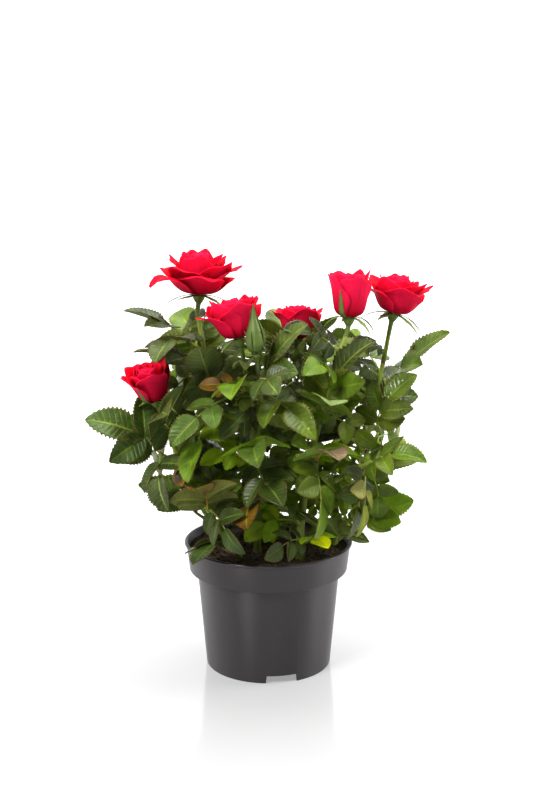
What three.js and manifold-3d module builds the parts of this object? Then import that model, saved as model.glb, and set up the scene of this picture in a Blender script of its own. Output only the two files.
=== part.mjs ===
// Potted rose bush: a red miniature rose in a round nursery pot. Millimetres, +Z up, +X to the right,
// -Y to the front, with the origin in the middle of the pot's foot, on the surface that it stands on.
// Canes rise from the compost and fork into boughs. Each bloom is fused to its own stalk, and each mass of
// foliage is one side shoot with its compound leaves, grown by a seeded rule.
import * as THREE from "three";
import { mergeVertices } from "three/addons/utils/BufferGeometryUtils.js";
import Module from "manifold-3d";

const wasm = await Module();
wasm.setup();

// ---------------------------------------------------------------- driving sizes
const GAP = 0.3; // clearance that touching pieces keep
const UP = new THREE.Vector3(0, 0, 1);
const GOLDEN_ANGLE = 137.5; // degrees from one leaf, or petal, to the next

const POT = {
  height: 91,
  rimRadius: 60,
  bandTopRadius: 58.8,
  bandFootRadius: 56.5,
  bandFoot: 70, // height at which the collar ends
  bodyTopRadius: 51,
  footRadius: 44.8,
  wall: 1.2,
  lip: 1.6, // height of the rolled edge
  floor: 7, // height of the floor's underside above the foot
  pad: 15, // radius of the flat middle that stands level with the foot
  padSlope: 5, // width of the slope from the middle up to the floor
  sides: 48,
};
const NOTCH = { width: 21, height: 5.5, count: 3, firstTurn: -78 }; // cuts through the foot ring
const DRAIN = { radius: 4, ring: 31, count: 6 };
const SOIL_TOP = 86;
const SOIL_DIP = 2.2; // deepest hollow in the compost's surface
const FOOT_CLEAR = 11; // the compost is level this far round each cane's foot

// A limb runs from its foot, or from a place on another limb, by its knee to its tip.
const LIMBS = [
  { name: "cane_left_tall", foot: [-10, 6], knee: [-34, 4, 160], tip: [-49, -1, 254], girth: [2.6, 1.5] },
  { name: "cane_middle", foot: [-8, -14], knee: [-6, -26, 150], tip: [-17, -27, 227], girth: [2.5, 1.5] },
  { name: "cane_back_middle", foot: [4, 16], knee: [4, 26, 160], tip: [20, 17, 223], girth: [2.2, 1.4] },
  { name: "cane_front", foot: [22, -28], knee: [20, -30, 150], tip: [53, -10, 240], girth: [2.9, 1.6] },
  { name: "cane_right_tall", foot: [20, 2], knee: [66, 2, 130], tip: [85, 15, 238], girth: [2.4, 1.5] },
  { name: "cane_left", foot: [-22, -4], knee: [-54, -8, 116], tip: [-72, -13, 182], girth: [2.3, 1.5] },
  { name: "cane_left_front", foot: [-18, -24], knee: [-36, -36, 112], tip: [-46, -44, 136], girth: [1.9, 1.4] },
  { name: "cane_right_low", foot: [34, -10], knee: [56, -14, 100], tip: [70, -18, 116], girth: [1.9, 1.4] },
  { name: "cane_back_left", foot: [-14, 24], knee: [-30, 44, 130], tip: [-34, 52, 196], girth: [2.1, 1.4] },
  { name: "cane_back_right", foot: [16, 26], knee: [34, 46, 128], tip: [42, 54, 194], girth: [2.1, 1.4] },
  { name: "bough_bud", on: ["cane_middle", 0.6], knee: [-2, -38, 186], tip: [-7, -42, 220], girth: [1.5, 1.2] },
  { name: "bough_right", on: ["cane_front", 0.34], knee: [58, -30, 148], tip: [94, -24, 170], girth: [1.9, 1.5] },
];

// A bloom sits on the stalk that goes on from its limb. open is 0 for a bud and 1 for a full-blown flower.
const BLOOMS = [
  { name: "bloom_top_left", limb: "cane_left_tall", calyx: [-48, 0, 268], axis: [0.04, 0.04, 1], open: 1, size: 30 },
  { name: "bloom_upper_left", limb: "cane_middle", calyx: [-20, -28, 242], axis: [-0.2, 0.1, 1], open: 0.5, size: 27 },
  { name: "bloom_centre", limb: "cane_back_middle", calyx: [21, 20, 234], axis: [0.05, 0.14, 1], open: 0.45, size: 23 },
  { name: "bloom_upper_right", limb: "cane_front", calyx: [55, -10, 254], axis: [0.03, 0, 1], open: 0.14, size: 29 },
  { name: "bloom_right", limb: "cane_right_tall", calyx: [88, 15, 253], axis: [0.22, 0, 1], open: 0.66, size: 27 },
  { name: "bloom_left", limb: "cane_left", calyx: [-78, -15, 197], axis: [-0.26, -0.2, 1], open: 0.3, size: 25 },
];

const BUDS = [
  { name: "bud_tall", limb: "bough_bud", calyx: [-8, -42, 234], axis: [-0.08, 0, 1], length: 33, width: 13 },
];

// A mass is a side shoot: the share of its limb where it leaves it, the place that its end leaf's tip reaches,
// its longest leaflet, how many leaves it carries in all, and the turn of its first side leaf in degrees.
const SHOOTS = [
  { name: "leaves_top_left", on: ["cane_left_tall", 0.86], aim: [-101, 8, 255], leaflet: 30, leaves: 3, spin: 280 },
  { name: "leaves_left_high", on: ["cane_left_tall", 0.78], aim: [-92, -14, 229], leaflet: 31, leaves: 3, spin: 290 },
  { name: "leaves_left_front", on: ["cane_left_tall", 0.52], aim: [-46, -46, 238], leaflet: 42, leaves: 3, spin: 180 },
  { name: "leaves_left_rear", on: ["cane_left_tall", 0.76], aim: [-66, 56, 248], leaflet: 34, leaves: 3, spin: 10 },
  { name: "leaves_far_left", on: ["cane_left", 0.72], aim: [-126, -22, 184], leaflet: 37, leaves: 4, spin: 210 },
  { name: "leaves_left_middle", on: ["cane_left", 0.9], aim: [-66, -62, 198], leaflet: 34, leaves: 4, spin: 80 },
  { name: "leaves_left_back", on: ["cane_left", 0.6], aim: [-92, 40, 186], leaflet: 32, leaves: 3, spin: 30 },
  { name: "leaves_left_low", on: ["cane_left", 0.3], aim: [-91, -16, 140], leaflet: 30, leaves: 4, spin: 30 },
  { name: "leaves_left_side", on: ["cane_left", 0.5], aim: [-102, -40, 162], leaflet: 28, leaves: 3, spin: 100 },
  { name: "leaves_left_bronze", on: ["cane_left_front", 0.7], aim: [-50, -80, 150], leaflet: 32, leaves: 4, spin: 110 },
  { name: "leaves_front_bronze", on: ["cane_middle", 0.28], aim: [-22, -76, 117], leaflet: 40, leaves: 3, spin: 30 },
  { name: "leaves_over_rim", on: ["cane_left_front", 0.32], aim: [-52, -66, 94], leaflet: 28, leaves: 3, spin: 230 },
  { name: "leaves_centre_left", on: ["cane_middle", 0.84], aim: [-22, -80, 214], leaflet: 35, leaves: 4, spin: 120 },
  { name: "leaves_centre_top", on: ["cane_middle", 0.76], aim: [24, -42, 252], leaflet: 38, leaves: 3, spin: 300 },
  { name: "leaves_centre_front", on: ["cane_middle", 0.55], aim: [-6, -84, 166], leaflet: 35, leaves: 4, spin: 310 },
  { name: "leaves_centre_high", on: ["cane_back_middle", 0.72], aim: [48, -2, 254], leaflet: 35, leaves: 3, spin: 60 },
  { name: "leaves_centre_rear", on: ["cane_back_middle", 0.84], aim: [4, 66, 248], leaflet: 33, leaves: 3, spin: 10 },
  { name: "leaves_right_large", on: ["cane_front", 0.62], aim: [82, -24, 244], leaflet: 43, leaves: 3, spin: 270 },
  { name: "leaves_right_pale", on: ["cane_front", 0.68], aim: [38, -74, 208], leaflet: 35, leaves: 4, spin: 300 },
  { name: "leaves_front_mauve", on: ["cane_front", 0.48], aim: [48, -86, 168], leaflet: 33, leaves: 4, spin: 20 },
  { name: "leaves_front_low", on: ["cane_front", 0.2], aim: [6, -76, 132], leaflet: 29, leaves: 4, spin: 310 },
  { name: "leaves_front_pair", on: ["cane_front", 0.1], aim: [44, -76, 116], leaflet: 28, leaves: 3, spin: 160 },
  { name: "leaves_far_right", on: ["cane_right_tall", 0.74], aim: [126, 2, 241], leaflet: 36, leaves: 3, spin: 320 },
  { name: "leaves_right_round", on: ["bough_right", 0.52], aim: [106, -18, 218], leaflet: 35, leaves: 4, spin: 260 },
  { name: "leaves_right_middle", on: ["bough_right", 0.5], aim: [102, -56, 158], leaflet: 29, leaves: 4, spin: 40 },
  { name: "leaves_right_side", on: ["cane_right_tall", 0.36], aim: [102, -10, 148], leaflet: 30, leaves: 4, spin: 150 },
  { name: "leaves_right_rear", on: ["cane_right_tall", 0.66], aim: [100, 50, 204], leaflet: 33, leaves: 3, spin: 40 },
  { name: "leaves_right_low", on: ["cane_right_low", 0.55], aim: [102, -14, 124], leaflet: 29, leaves: 4, spin: 280 },
  { name: "leaves_right_mid", on: ["cane_right_tall", 0.3], aim: [94, -36, 140], leaflet: 24, leaves: 3, spin: 60 },
  { name: "leaves_front_yellow", on: ["cane_front", 0.06], aim: [28, -60, 103], leaflet: 20, leaves: 2, spin: 100 },
  { name: "leaves_right_rim", on: ["cane_right_low", 0.25], aim: [62, -48, 102], leaflet: 29, leaves: 4, spin: 180 },
  { name: "leaves_back_left_high", on: ["cane_back_left", 0.84], aim: [-62, 92, 222], leaflet: 38, leaves: 4, spin: 320 },
  { name: "leaves_back_left_low", on: ["cane_back_left", 0.5], aim: [-74, 76, 142], leaflet: 33, leaves: 3, spin: 30 },
  { name: "leaves_back_middle", on: ["cane_back_left", 0.76], aim: [-10, 100, 178], leaflet: 33, leaves: 3, spin: 330 },
  { name: "leaves_back_right_high", on: ["cane_back_right", 0.84], aim: [64, 96, 226], leaflet: 32, leaves: 3, spin: 300 },
  { name: "leaves_back_right_low", on: ["cane_back_right", 0.5], aim: [78, 74, 146], leaflet: 33, leaves: 4, spin: 260 },
  { name: "leaves_back_low", on: ["cane_back_right", 0.3], aim: [16, 92, 126], leaflet: 30, leaves: 3, spin: 170 },
];
const MOST_LEAVES = Math.max(...SHOOTS.map((plan) => plan.leaves));
// Side leaves keep inside this shape: half its width and depth, its top, and how it narrows below its waist.
const CROWN = { width: 106, depth: 96, top: 252, waist: 140, footWidth: 78 };

const LEAF = {
  lean: 62, // degrees between a leaf's stalk and the shoot that bears it
  reach: 1.5, // stalk and rachis together, in leaflet lengths
  droop: [58, 24], // degrees by which a stalk bends down along its length, low and high on the plant
  sideTurn: [58, 76], // degrees from the rachis to the leaflets of its upper and lower pair
  sideSize: [0.84, 0.7], // of the end leaflet's length
  stagger: 0.03, // of the rachis between the two leaflets of a pair
  width: 0.73, // of a leaflet's length
  fold: 16, // degrees that each half stands up from flat
  curl: 30, // degrees by which a leaflet bends down towards its tip
  thick: 0.8,
  stalk: 0.7, // half the width of a leaf stalk
  tries: 26,
  turnPerTry: 47, // degrees by which a leaf that would touch something is turned
};
// A side shoot takes this share of the way to its end leaflet, but leaves that leaf's stalk this room in leaflets.
const SHOOT = { radius: 1.2, share: 0.42, least: 4, room: 0.55 };
const BEAD = { pitch: 1.7, radius: 0.85 }; // the beads that stand for a leaf where its clearance is tested

// ---------------------------------------------------------------- small tools
const radians = THREE.MathUtils.degToRad;
const mix = THREE.MathUtils.lerp;
const smooth = (low, high, x) => THREE.MathUtils.smoothstep(x, low, high);
const vector = (xyz) => new THREE.Vector3(...xyz);

/** Numbers from 0 to 1 that are the same on every run. */
class Dice {
  constructor(seed) {
    this.state = (seed * 7919 + 12345) % 4294967296;
    this.roll();
    this.roll();
  }
  roll() {
    this.state = (this.state * 1664525 + 1013904223) % 4294967296;
    return this.state / 4294967296;
  }
  /** A number from -size to size. */
  spread(size) {
    return (this.roll() * 2 - 1) * size;
  }
}

/** A closed geometry as a solid, its doubles merged and its collapsed faces dropped. */
function solidOf(geometry) {
  const bare = new THREE.BufferGeometry().setAttribute("position", geometry.getAttribute("position"));
  bare.setIndex(geometry.index);
  const merged = mergeVertices(bare, 1e-3);
  const corners = [];
  for (let i = 0; i < merged.index.count; i += 3) {
    const [a, b, c] = [0, 1, 2].map((k) => merged.index.getX(i + k));
    if (a !== b && b !== c && c !== a) corners.push(a, b, c);
  }
  const made = new wasm.Manifold(
    new wasm.Mesh({
      numProp: 3,
      vertProperties: new Float32Array(merged.attributes.position.array),
      triVerts: new Uint32Array(corners),
    }),
  );
  return made;
}

/** Solids joined into one body: small faces merged, sealed hollows filled and loose scraps dropped. */
function fuse(solids, slack = 0.02) {
  const whole = solids.reduce((joined, piece) => joined.add(piece)).simplify(slack);
  return whole.decompose().reduce((best, body) => (body.volume() > best.volume() ? body : best));
}

/** A named mesh of a solid, in the given colour. */
function meshOf(name, solid, material) {
  const { numProp, numVert, vertProperties, triVerts } = solid.getMesh();
  const places = new Float32Array(numVert * 3);
  for (let i = 0; i < numVert; i++) places.set(vertProperties.subarray(i * numProp, i * numProp + 3), i * 3);
  const geometry = new THREE.BufferGeometry();
  geometry.setAttribute("position", new THREE.BufferAttribute(places, 3));
  geometry.setIndex(new THREE.BufferAttribute(triVerts, 1));
  geometry.computeVertexNormals();
  const mesh = new THREE.Mesh(geometry, material);
  mesh.name = name;
  return mesh;
}

/** Moves each vertex of a geometry to place(x, y, z). */
function reshape(geometry, place) {
  const position = geometry.getAttribute("position");
  for (let i = 0; i < position.count; i++) {
    const p = place(position.getX(i), position.getY(i), position.getZ(i), i);
    position.setXYZ(i, p.x, p.y, p.z);
  }
  return geometry;
}

/** A round bar along a curve, with its radius given for each share of its course. */
function bar(curve, radiusAt, sides, steps) {
  const across = new THREE.Vector3(0.31, 0.95, 0.05);
  const rings = Array.from({ length: steps + 1 }, (_, i) => {
    const tangent = curve.getTangent(i / steps);
    const side = new THREE.Vector3().crossVectors(across, tangent).normalize();
    across.crossVectors(tangent, side);
    return { at: curve.getPoint(i / steps), side, across: across.clone(), radius: radiusAt(i / steps) };
  });
  return reshape(new THREE.CylinderGeometry(1, 1, 1, sides, steps), (x, y, z) => {
    const ring = rings[Math.round((y + 0.5) * steps)];
    return ring.at.clone().addScaledVector(ring.across, x * ring.radius).addScaledVector(ring.side, z * ring.radius);
  });
}

/** A frame with its z along axis, as a matrix that places things at origin. */
function standing(origin, axis) {
  const turn = new THREE.Quaternion().setFromUnitVectors(UP, axis.clone().normalize());
  return new THREE.Matrix4().compose(origin, turn, new THREE.Vector3(1, 1, 1));
}

/** A turned shape: profile is [radius, height] pairs from the foot to the top, which closes on itself or the axis. */
function turned(profile, sides) {
  const points = profile.map(([r, h]) => new THREE.Vector2(r, h));
  return new THREE.LatheGeometry(points, sides).rotateX(Math.PI / 2);
}

// ---------------------------------------------------------------- clearance
/** Beads that stand for what has grown so far, each with the mass that it belongs to. */
class Crowd {
  constructor() {
    this.beads = [];
  }
  add(beads, owner) {
    for (const bead of beads) this.beads.push({ ...bead, owner });
  }
  /** Whether any of the beads touches one of another owner. */
  touches(beads, owner) {
    const box = new THREE.Box3().setFromPoints(beads.map((b) => b.at)).expandByScalar(BEAD.radius * 2);
    const near = this.beads.filter((b) => b.owner !== owner && box.distanceToPoint(b.at) < b.radius);
    return beads.some((a) => near.some((b) => a.at.distanceTo(b.at) < a.radius + b.radius));
  }
}

/** Beads along a limb. */
function limbBeads(curve, radiusAt) {
  const count = Math.ceil(curve.getLength() / BEAD.pitch);
  return Array.from({ length: count + 1 }, (_, i) => ({
    at: curve.getPoint(i / count),
    radius: radiusAt(i / count) + GAP,
  }));
}

// ---------------------------------------------------------------- pot and compost
function potSolid() {
  const inner = (r) => r - POT.wall;
  const body = turned(
    [
      [0, 0],
      [POT.pad, 0],
      [POT.pad + POT.padSlope, POT.floor],
      [inner(POT.footRadius), POT.floor],
      [inner(POT.footRadius), 0],
      [POT.footRadius, 0],
      [POT.bodyTopRadius, POT.bandFoot],
      [POT.bandFootRadius, POT.bandFoot + 1],
      [POT.bandTopRadius, POT.height - POT.lip],
      [POT.rimRadius, POT.height - POT.lip],
      [POT.rimRadius, POT.height],
      [inner(POT.bandTopRadius), POT.height],
      [inner(POT.bandFootRadius), POT.bandFoot + 3],
      [inner(POT.bodyTopRadius), POT.bandFoot],
      [inner(POT.footRadius) + 1, POT.floor + POT.wall],
      [POT.pad + POT.padSlope - POT.wall / 2, POT.floor + POT.wall],
      [POT.pad - POT.wall / 2, POT.wall],
      [0, POT.wall],
    ],
    POT.sides,
  );
  let pot = solidOf(body);
  for (let i = 0; i < NOTCH.count; i++) {
    const turn = radians(NOTCH.firstTurn + (i * 360) / NOTCH.count);
    const depth = 14;
    const cutter = new THREE.BoxGeometry(depth, NOTCH.width, NOTCH.height * 2)
      .translate(POT.footRadius, 0, 0)
      .rotateZ(turn);
    pot = pot.subtract(solidOf(cutter));
  }
  for (let i = 0; i < DRAIN.count; i++) {
    const hole = new THREE.CylinderGeometry(DRAIN.radius, DRAIN.radius, POT.wall * 4, 10)
      .rotateX(Math.PI / 2)
      .translate(DRAIN.ring, 0, POT.floor)
      .rotateZ(((i + 0.5) * 2 * Math.PI) / DRAIN.count);
    pot = pot.subtract(solidOf(hole));
  }
  return pot;
}

/** The radius inside the pot's wall at a height. */
function wallInside(height) {
  const low = POT.floor + POT.wall;
  if (height < POT.bandFoot)
    return mix(POT.footRadius + 1, POT.bodyTopRadius, (height - low) / (POT.bandFoot - low)) - POT.wall;
  const step = POT.bandFoot + 3;
  if (height < step) return mix(POT.bodyTopRadius, POT.bandFootRadius, (height - POT.bandFoot) / 3) - POT.wall;
  return mix(POT.bandFootRadius, POT.bandTopRadius, (height - step) / (POT.height - step)) - POT.wall;
}

/** How far the compost's surface lies below its top, level round the canes' feet. */
function soilDip(x, y) {
  const nearest = Math.min(...LIMBS.filter((l) => l.foot).map((l) => Math.hypot(x - l.foot[0], y - l.foot[1])));
  const lumps = 0.5 + 0.5 * Math.sin(x * 0.21 + 1.3) * Math.sin(y * 0.17 + x * 0.09);
  return SOIL_DIP * lumps * smooth(FOOT_CLEAR, FOOT_CLEAR * 2, nearest);
}

function soilSolid() {
  const rings = 4;
  const edge = wallInside(SOIL_TOP) - GAP;
  const wall = [POT.floor + POT.wall + GAP, POT.bandFoot, POT.bandFoot + 3].map((h) => [wallInside(h) - GAP, h]);
  const top = Array.from({ length: rings + 1 }, (_, i) => [edge * (1 - i / rings), SOIL_TOP]);
  const pad = POT.pad - POT.wall - GAP;
  const base = [[0, POT.wall + GAP], [pad, POT.wall + GAP], [pad + POT.padSlope, POT.floor + POT.wall + GAP]];
  const profile = [...base, ...wall, ...top];
  const geometry = reshape(turned(profile, POT.sides), (x, y, z) =>
    new THREE.Vector3(x, y, z === SOIL_TOP ? z - soilDip(x, y) : z),
  );
  return solidOf(geometry);
}

// ---------------------------------------------------------------- limbs
// A cane widens by this share at the compost, over this height. It is built sunk and then cut off level.
const ROOT_FLARE = { extra: 0.45, height: 5, sunk: 3 };

/** Where something of a radius that heads along heading starts, so that it stays clear of the limb's side. */
function rootOn(limb, share, heading, radius) {
  const tangent = limb.curve.getTangent(share);
  const cosine = Math.abs(tangent.dot(heading));
  const sine = Math.sqrt(1 - cosine * cosine);
  const out = (limb.radiusAt(share) + GAP + radius * cosine) / sine;
  return limb.curve.getPoint(share).addScaledVector(heading, out);
}

/** A curve from a to c that leans by way of b. */
const bent = (a, b, c) => new THREE.QuadraticBezierCurve3(a, b, c);

function growLimb(plan, limbs) {
  const [thick, thin] = plan.girth;
  const knee = vector(plan.knee);
  const tip = vector(plan.tip);
  let foot;
  if (plan.foot) {
    foot = new THREE.Vector3(...plan.foot, SOIL_TOP - ROOT_FLARE.sunk);
  } else {
    const [parent, share] = [limbs.get(plan.on[0]), plan.on[1]];
    const heading = knee.clone().sub(parent.curve.getPoint(share)).normalize();
    foot = rootOn(parent, share, heading, thick);
  }
  const curve = bent(foot, knee, tip);
  const long = curve.getLength();
  const flare = (share) => (plan.foot ? ROOT_FLARE.extra * Math.exp((-share * long) / ROOT_FLARE.height) : 0);
  const radiusAt = (share) => mix(thick, thin, share) * (1 + flare(share));
  return { name: plan.name, curve, radiusAt };
}

function limbSolid(limb) {
  const steps = Math.max(5, Math.round(limb.curve.getLength() / 16));
  return solidOf(bar(limb.curve, limb.radiusAt, 6, steps)).trimByPlane([0, 0, 1], SOIL_TOP + GAP);
}

// ---------------------------------------------------------------- leaves
/** How wide a leaflet is at a share v of its length, where 1 is its widest. */
const leafletWidth = (v) => Math.pow(Math.max(0, Math.sin(Math.PI * Math.pow(v, 0.82))), 0.85);

/** A point of a leaflet: u from -1 to 1 across it, and v from 0 to 1 along it. */
function leafletPoint(leaflet, u, v) {
  const bend = radians(leaflet.curl) * v;
  const along = leaflet.length * (v - (bend * bend * v) / 6);
  const down = (leaflet.length * bend * v) / 2;
  const across = u * 0.5 * leaflet.width * leafletWidth(v);
  const lift = Math.abs(across) * Math.sin(radians(leaflet.fold));
  return leaflet.base
    .clone()
    .addScaledVector(leaflet.heading, along)
    .addScaledVector(leaflet.side, across * Math.cos(radians(leaflet.fold)))
    .addScaledVector(leaflet.face, lift - down);
}

/** A leaflet's frame: its heading, the way that its upper side faces, and its side. */
function makeLeaflet(base, heading, face, length, dice) {
  const ahead = heading.clone().normalize();
  const tilted = face.clone().add(new THREE.Vector3(dice.spread(0.3), dice.spread(0.3), dice.spread(0.2)));
  const side = new THREE.Vector3().crossVectors(ahead, tilted).normalize();
  return {
    base,
    heading: ahead,
    side,
    face: new THREE.Vector3().crossVectors(side, ahead),
    length,
    width: length * (LEAF.width + dice.spread(0.07)),
    fold: LEAF.fold + dice.spread(9),
    curl: LEAF.curl + dice.spread(20),
  };
}

/** How a leaf lies: the way it sags, and the way it faces, which is up, and more out to the side the lower it is. */
function layOn(place, ahead, dice) {
  const level = new THREE.Vector3(ahead.x, ahead.y, 0).normalize();
  const outward = new THREE.Vector3(place.x, place.y, 0).normalize();
  const sideways = outward.addScaledVector(level, -outward.dot(level));
  const jitter = new THREE.Vector3(dice.spread(0.3), dice.spread(0.3), 0);
  const sag = level.clone().sub(UP);
  const tilt = mix(1.3, 0.6, smooth(SOIL_TOP, 250, place.z));
  return { sag, light: sideways.multiplyScalar(tilt).sub(sag).add(jitter) };
}

/** A compound leaf: a stalk that arches over, with a leaflet at its end and pairs of smaller ones below. */
function makeLeaf(base, heading, lie, size, long, dice) {
  const ahead = heading.clone().normalize();
  const down = lie.sag.clone().addScaledVector(ahead, -lie.sag.dot(ahead)).normalize();
  const droop = radians(mix(...LEAF.droop, smooth(SOIL_TOP, 250, base.z)) + dice.spread(14));
  const turnedBy = (from, towards, angle) =>
    from.clone().multiplyScalar(Math.cos(angle)).addScaledVector(towards, Math.sin(angle));
  const frame = (v) => {
    const at = base
      .clone()
      .addScaledVector(ahead, (long * Math.sin(droop * v)) / droop)
      .addScaledVector(down, (long * (1 - Math.cos(droop * v))) / droop);
    const tangent = turnedBy(ahead, down, droop * v);
    const side = new THREE.Vector3().crossVectors(tangent, lie.light).normalize();
    return { at, tangent, side, face: new THREE.Vector3().crossVectors(side, tangent) };
  };
  const pairs = dice.roll() < 0.55 ? 2 : 1;
  const leaflets = [];
  const addLeaflet = (v, hand, turn, length) => {
    const { at, tangent, side, face } = frame(v);
    const away = turnedBy(tangent, side, hand * radians(turn + dice.spread(7)));
    leaflets.push({ ...makeLeaflet(at, away, face, length, dice), v, hand });
  };
  addLeaflet(1, 0, 0, size);
  for (let pair = 0; pair < pairs; pair++)
    for (const hand of [1, -1])
      addLeaflet((2 - pair) / 3 - hand * LEAF.stagger, hand, LEAF.sideTurn[pair], size * LEAF.sideSize[pair]);
  return { frame, leaflets };
}

/** A leaf that is turned, and its stalk drawn out, until the tip of its end leaflet comes to the aim. */
function aimedLeaf(base, aim, size, seed) {
  const heading = aim.clone().sub(base).normalize();
  const lie = layOn(base, heading, new Dice(seed));
  let long = base.distanceTo(aim) - size * 0.9;
  let leaf;
  for (let pass = 0; pass < 10; pass++) {
    leaf = makeLeaf(base, heading, lie, size, long, new Dice(seed));
    const tip = leafletPoint(leaf.leaflets[0], 0, 1);
    const short = base.distanceTo(aim) - base.distanceTo(tip);
    heading.addScaledVector(aim.clone().sub(tip), 0.7 / base.distanceTo(aim)).normalize();
    long = THREE.MathUtils.clamp(long + short, size * 0.4, size * 2);
  }
  return leaf;
}

/** The beads of a leaf, without the foot of its stalk, which stands in its shoot. */
function leafBeads(leaf) {
  const beads = [];
  for (const leaflet of leaf.leaflets) {
    const rows = Math.ceil(leaflet.length / BEAD.pitch);
    const columns = Math.ceil(leaflet.width / BEAD.pitch);
    for (let row = 1; row <= rows; row++)
      for (let column = 0; column <= columns; column++)
        beads.push({ at: leafletPoint(leaflet, (2 * column) / columns - 1, row / rows), radius: BEAD.radius });
  }
  const stalkBeads = 12;
  for (let i = 2; i < stalkBeads; i++) beads.push({ at: leaf.frame(i / stalkBeads).at, radius: BEAD.radius });
  return beads;
}

/** Whether the beads stay off the pot, the compost and the ground. */
const clearOfPot = (beads) =>
  beads.every(({ at }) => {
    const radius = Math.hypot(at.x, at.y);
    if (at.z > POT.height + 3) return true;
    return radius > POT.rimRadius + 3 || (radius < wallInside(SOIL_TOP) - 4 && at.z > SOIL_TOP + 3);
  });

/** A blade: a box pinched to a sharp edge all round, with its middle line thick. */
function blade(place, across, along, thick, normalAt) {
  const box = new THREE.BoxGeometry(2, 1, 1, across, along, 1);
  return reshape(box, (x, y, z) => {
    const v = y + 0.5;
    const edge = Math.abs(x) > 0.999 || v < 0.001 || v > 0.999;
    return place(x, v).addScaledVector(normalAt(x, v), edge ? 0 : Math.sign(z) * 0.5 * thick);
  });
}

/** A leaf's outline in walking order: where each corner is on a flat layout, in space, and which way is up there. */
function leafOutline(leaf) {
  const onStalk = (v, hand) => {
    const { at, side, face } = leaf.frame(v);
    return { flat: [hand, 10 * v], at: at.addScaledVector(side, hand * LEAF.stalk), face };
  };
  const onLeaflet = (leaflet, u, v) => {
    const [x, y] = [0.35 + 8 * v, (leaflet.hand ? -leaflet.hand : 1) * u * (leaflet.hand ? 1 : 3)];
    const flat = leaflet.hand ? [leaflet.hand * (1 + x), 10 * leaflet.v + y] : [y, 10 + x];
    return { flat, at: leafletPoint(leaflet, u, v), face: leaflet.face };
  };
  const corners = [onStalk(0, 1)];
  const round = (leaflet, from, to, rows) => {
    corners.push(onStalk(...from));
    for (const v of rows) corners.push(onLeaflet(leaflet, 1, v));
    corners.push(onLeaflet(leaflet, 0, 1));
    for (const v of [...rows].reverse()) corners.push(onLeaflet(leaflet, -1, v));
    corners.push(onStalk(...to));
  };
  const [end, ...sides] = leaf.leaflets;
  const foot = 0.02; // half a side leaflet's foot, as a share of the rachis
  for (const one of sides.filter((l) => l.hand > 0).reverse())
    round(one, [one.v - foot, 1], [one.v + foot, 1], [0.4]);
  round(end, [1, 1], [1, -1], [0.28, 0.7]);
  for (const one of sides.filter((l) => l.hand < 0)) round(one, [one.v + foot, -1], [one.v - foot, -1], [0.4]);
  return [...corners, onStalk(0, -1)];
}

/** A leaf as a thin plate of even thickness, cut to its outline and then bent to its shape. */
function leafSolid(leaf) {
  const corners = leafOutline(leaf);
  const key = (x, y) => x.toFixed(3) + " " + y.toFixed(3);
  const places = new Map(corners.map((corner) => [key(...corner.flat), corner]));
  const shape = new THREE.Shape(corners.map((corner) => new THREE.Vector2(...corner.flat)));
  const plate = new THREE.ExtrudeGeometry(shape, { depth: 1, steps: 1, bevelEnabled: false });
  return solidOf(
    reshape(plate, (x, y, z) => {
      const { at, face } = places.get(key(x, y));
      return at.clone().addScaledVector(face, (z - 0.5) * LEAF.thick);
    }),
  );
}

/** Whether beads lie inside the crown. */
const insideCrown = (beads) =>
  beads.every(({ at }) => {
    const width = mix(CROWN.footWidth, CROWN.width, smooth(SOIL_TOP, CROWN.waist, at.z));
    return at.z < CROWN.top && Math.hypot(at.x / width, (at.y / width) * (CROWN.width / CROWN.depth)) < 1;
  });

/** The side shoot of a mass, with the leaf at its end if that finds room. */
function startShoot(plan, order, limbs, crowd) {
  const limb = limbs.get(plan.on[0]);
  const aim = vector(plan.aim);
  const heading = aim.clone().sub(limb.curve.getPoint(plan.on[1])).normalize();
  const foot = rootOn(limb, plan.on[1], heading, SHOOT.radius);
  const away = foot.distanceTo(aim) - plan.leaflet * 0.95;
  const wanted = Math.max(away * SHOOT.share, away - LEAF.reach * plan.leaflet);
  const length = Math.max(SHOOT.least, Math.min(wanted, away - SHOOT.room * plan.leaflet));
  const rise = UP.clone().multiplyScalar(length * 0.2);
  const tip = foot.clone().addScaledVector(heading, length).add(rise);
  const curve = bent(foot, foot.clone().addScaledVector(heading, length * 0.5), tip);
  const shoot = { plan, order, curve, radiusAt: (share) => SHOOT.radius * (1 - 0.25 * share), leaves: [] };
  crowd.add(limbBeads(curve, shoot.radiusAt), plan.name);
  for (let attempt = 0; attempt < LEAF.tries && !shoot.leaves.length; attempt++) {
    const dice = new Dice(order * 31 + attempt);
    const stray = new THREE.Vector3(dice.spread(1), dice.spread(1), dice.spread(1)).multiplyScalar(attempt * 0.7);
    const leaf = aimedLeaf(tip, stray.add(aim), plan.leaflet * (1 - attempt * 0.014), order * 97 + attempt);
    keepLeaf(shoot, leaf, leafBeads(leaf), crowd);
  }
  return shoot;
}

/** Adds a leaf to a shoot where its beads find room. */
function keepLeaf(shoot, leaf, beads, crowd) {
  if (!clearOfPot(beads) || crowd.touches(beads, shoot.plan.name)) return false;
  crowd.add(beads, shoot.plan.name + "/" + shoot.leaves.length);
  shoot.leaves.push(leaf);
  return true;
}

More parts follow.
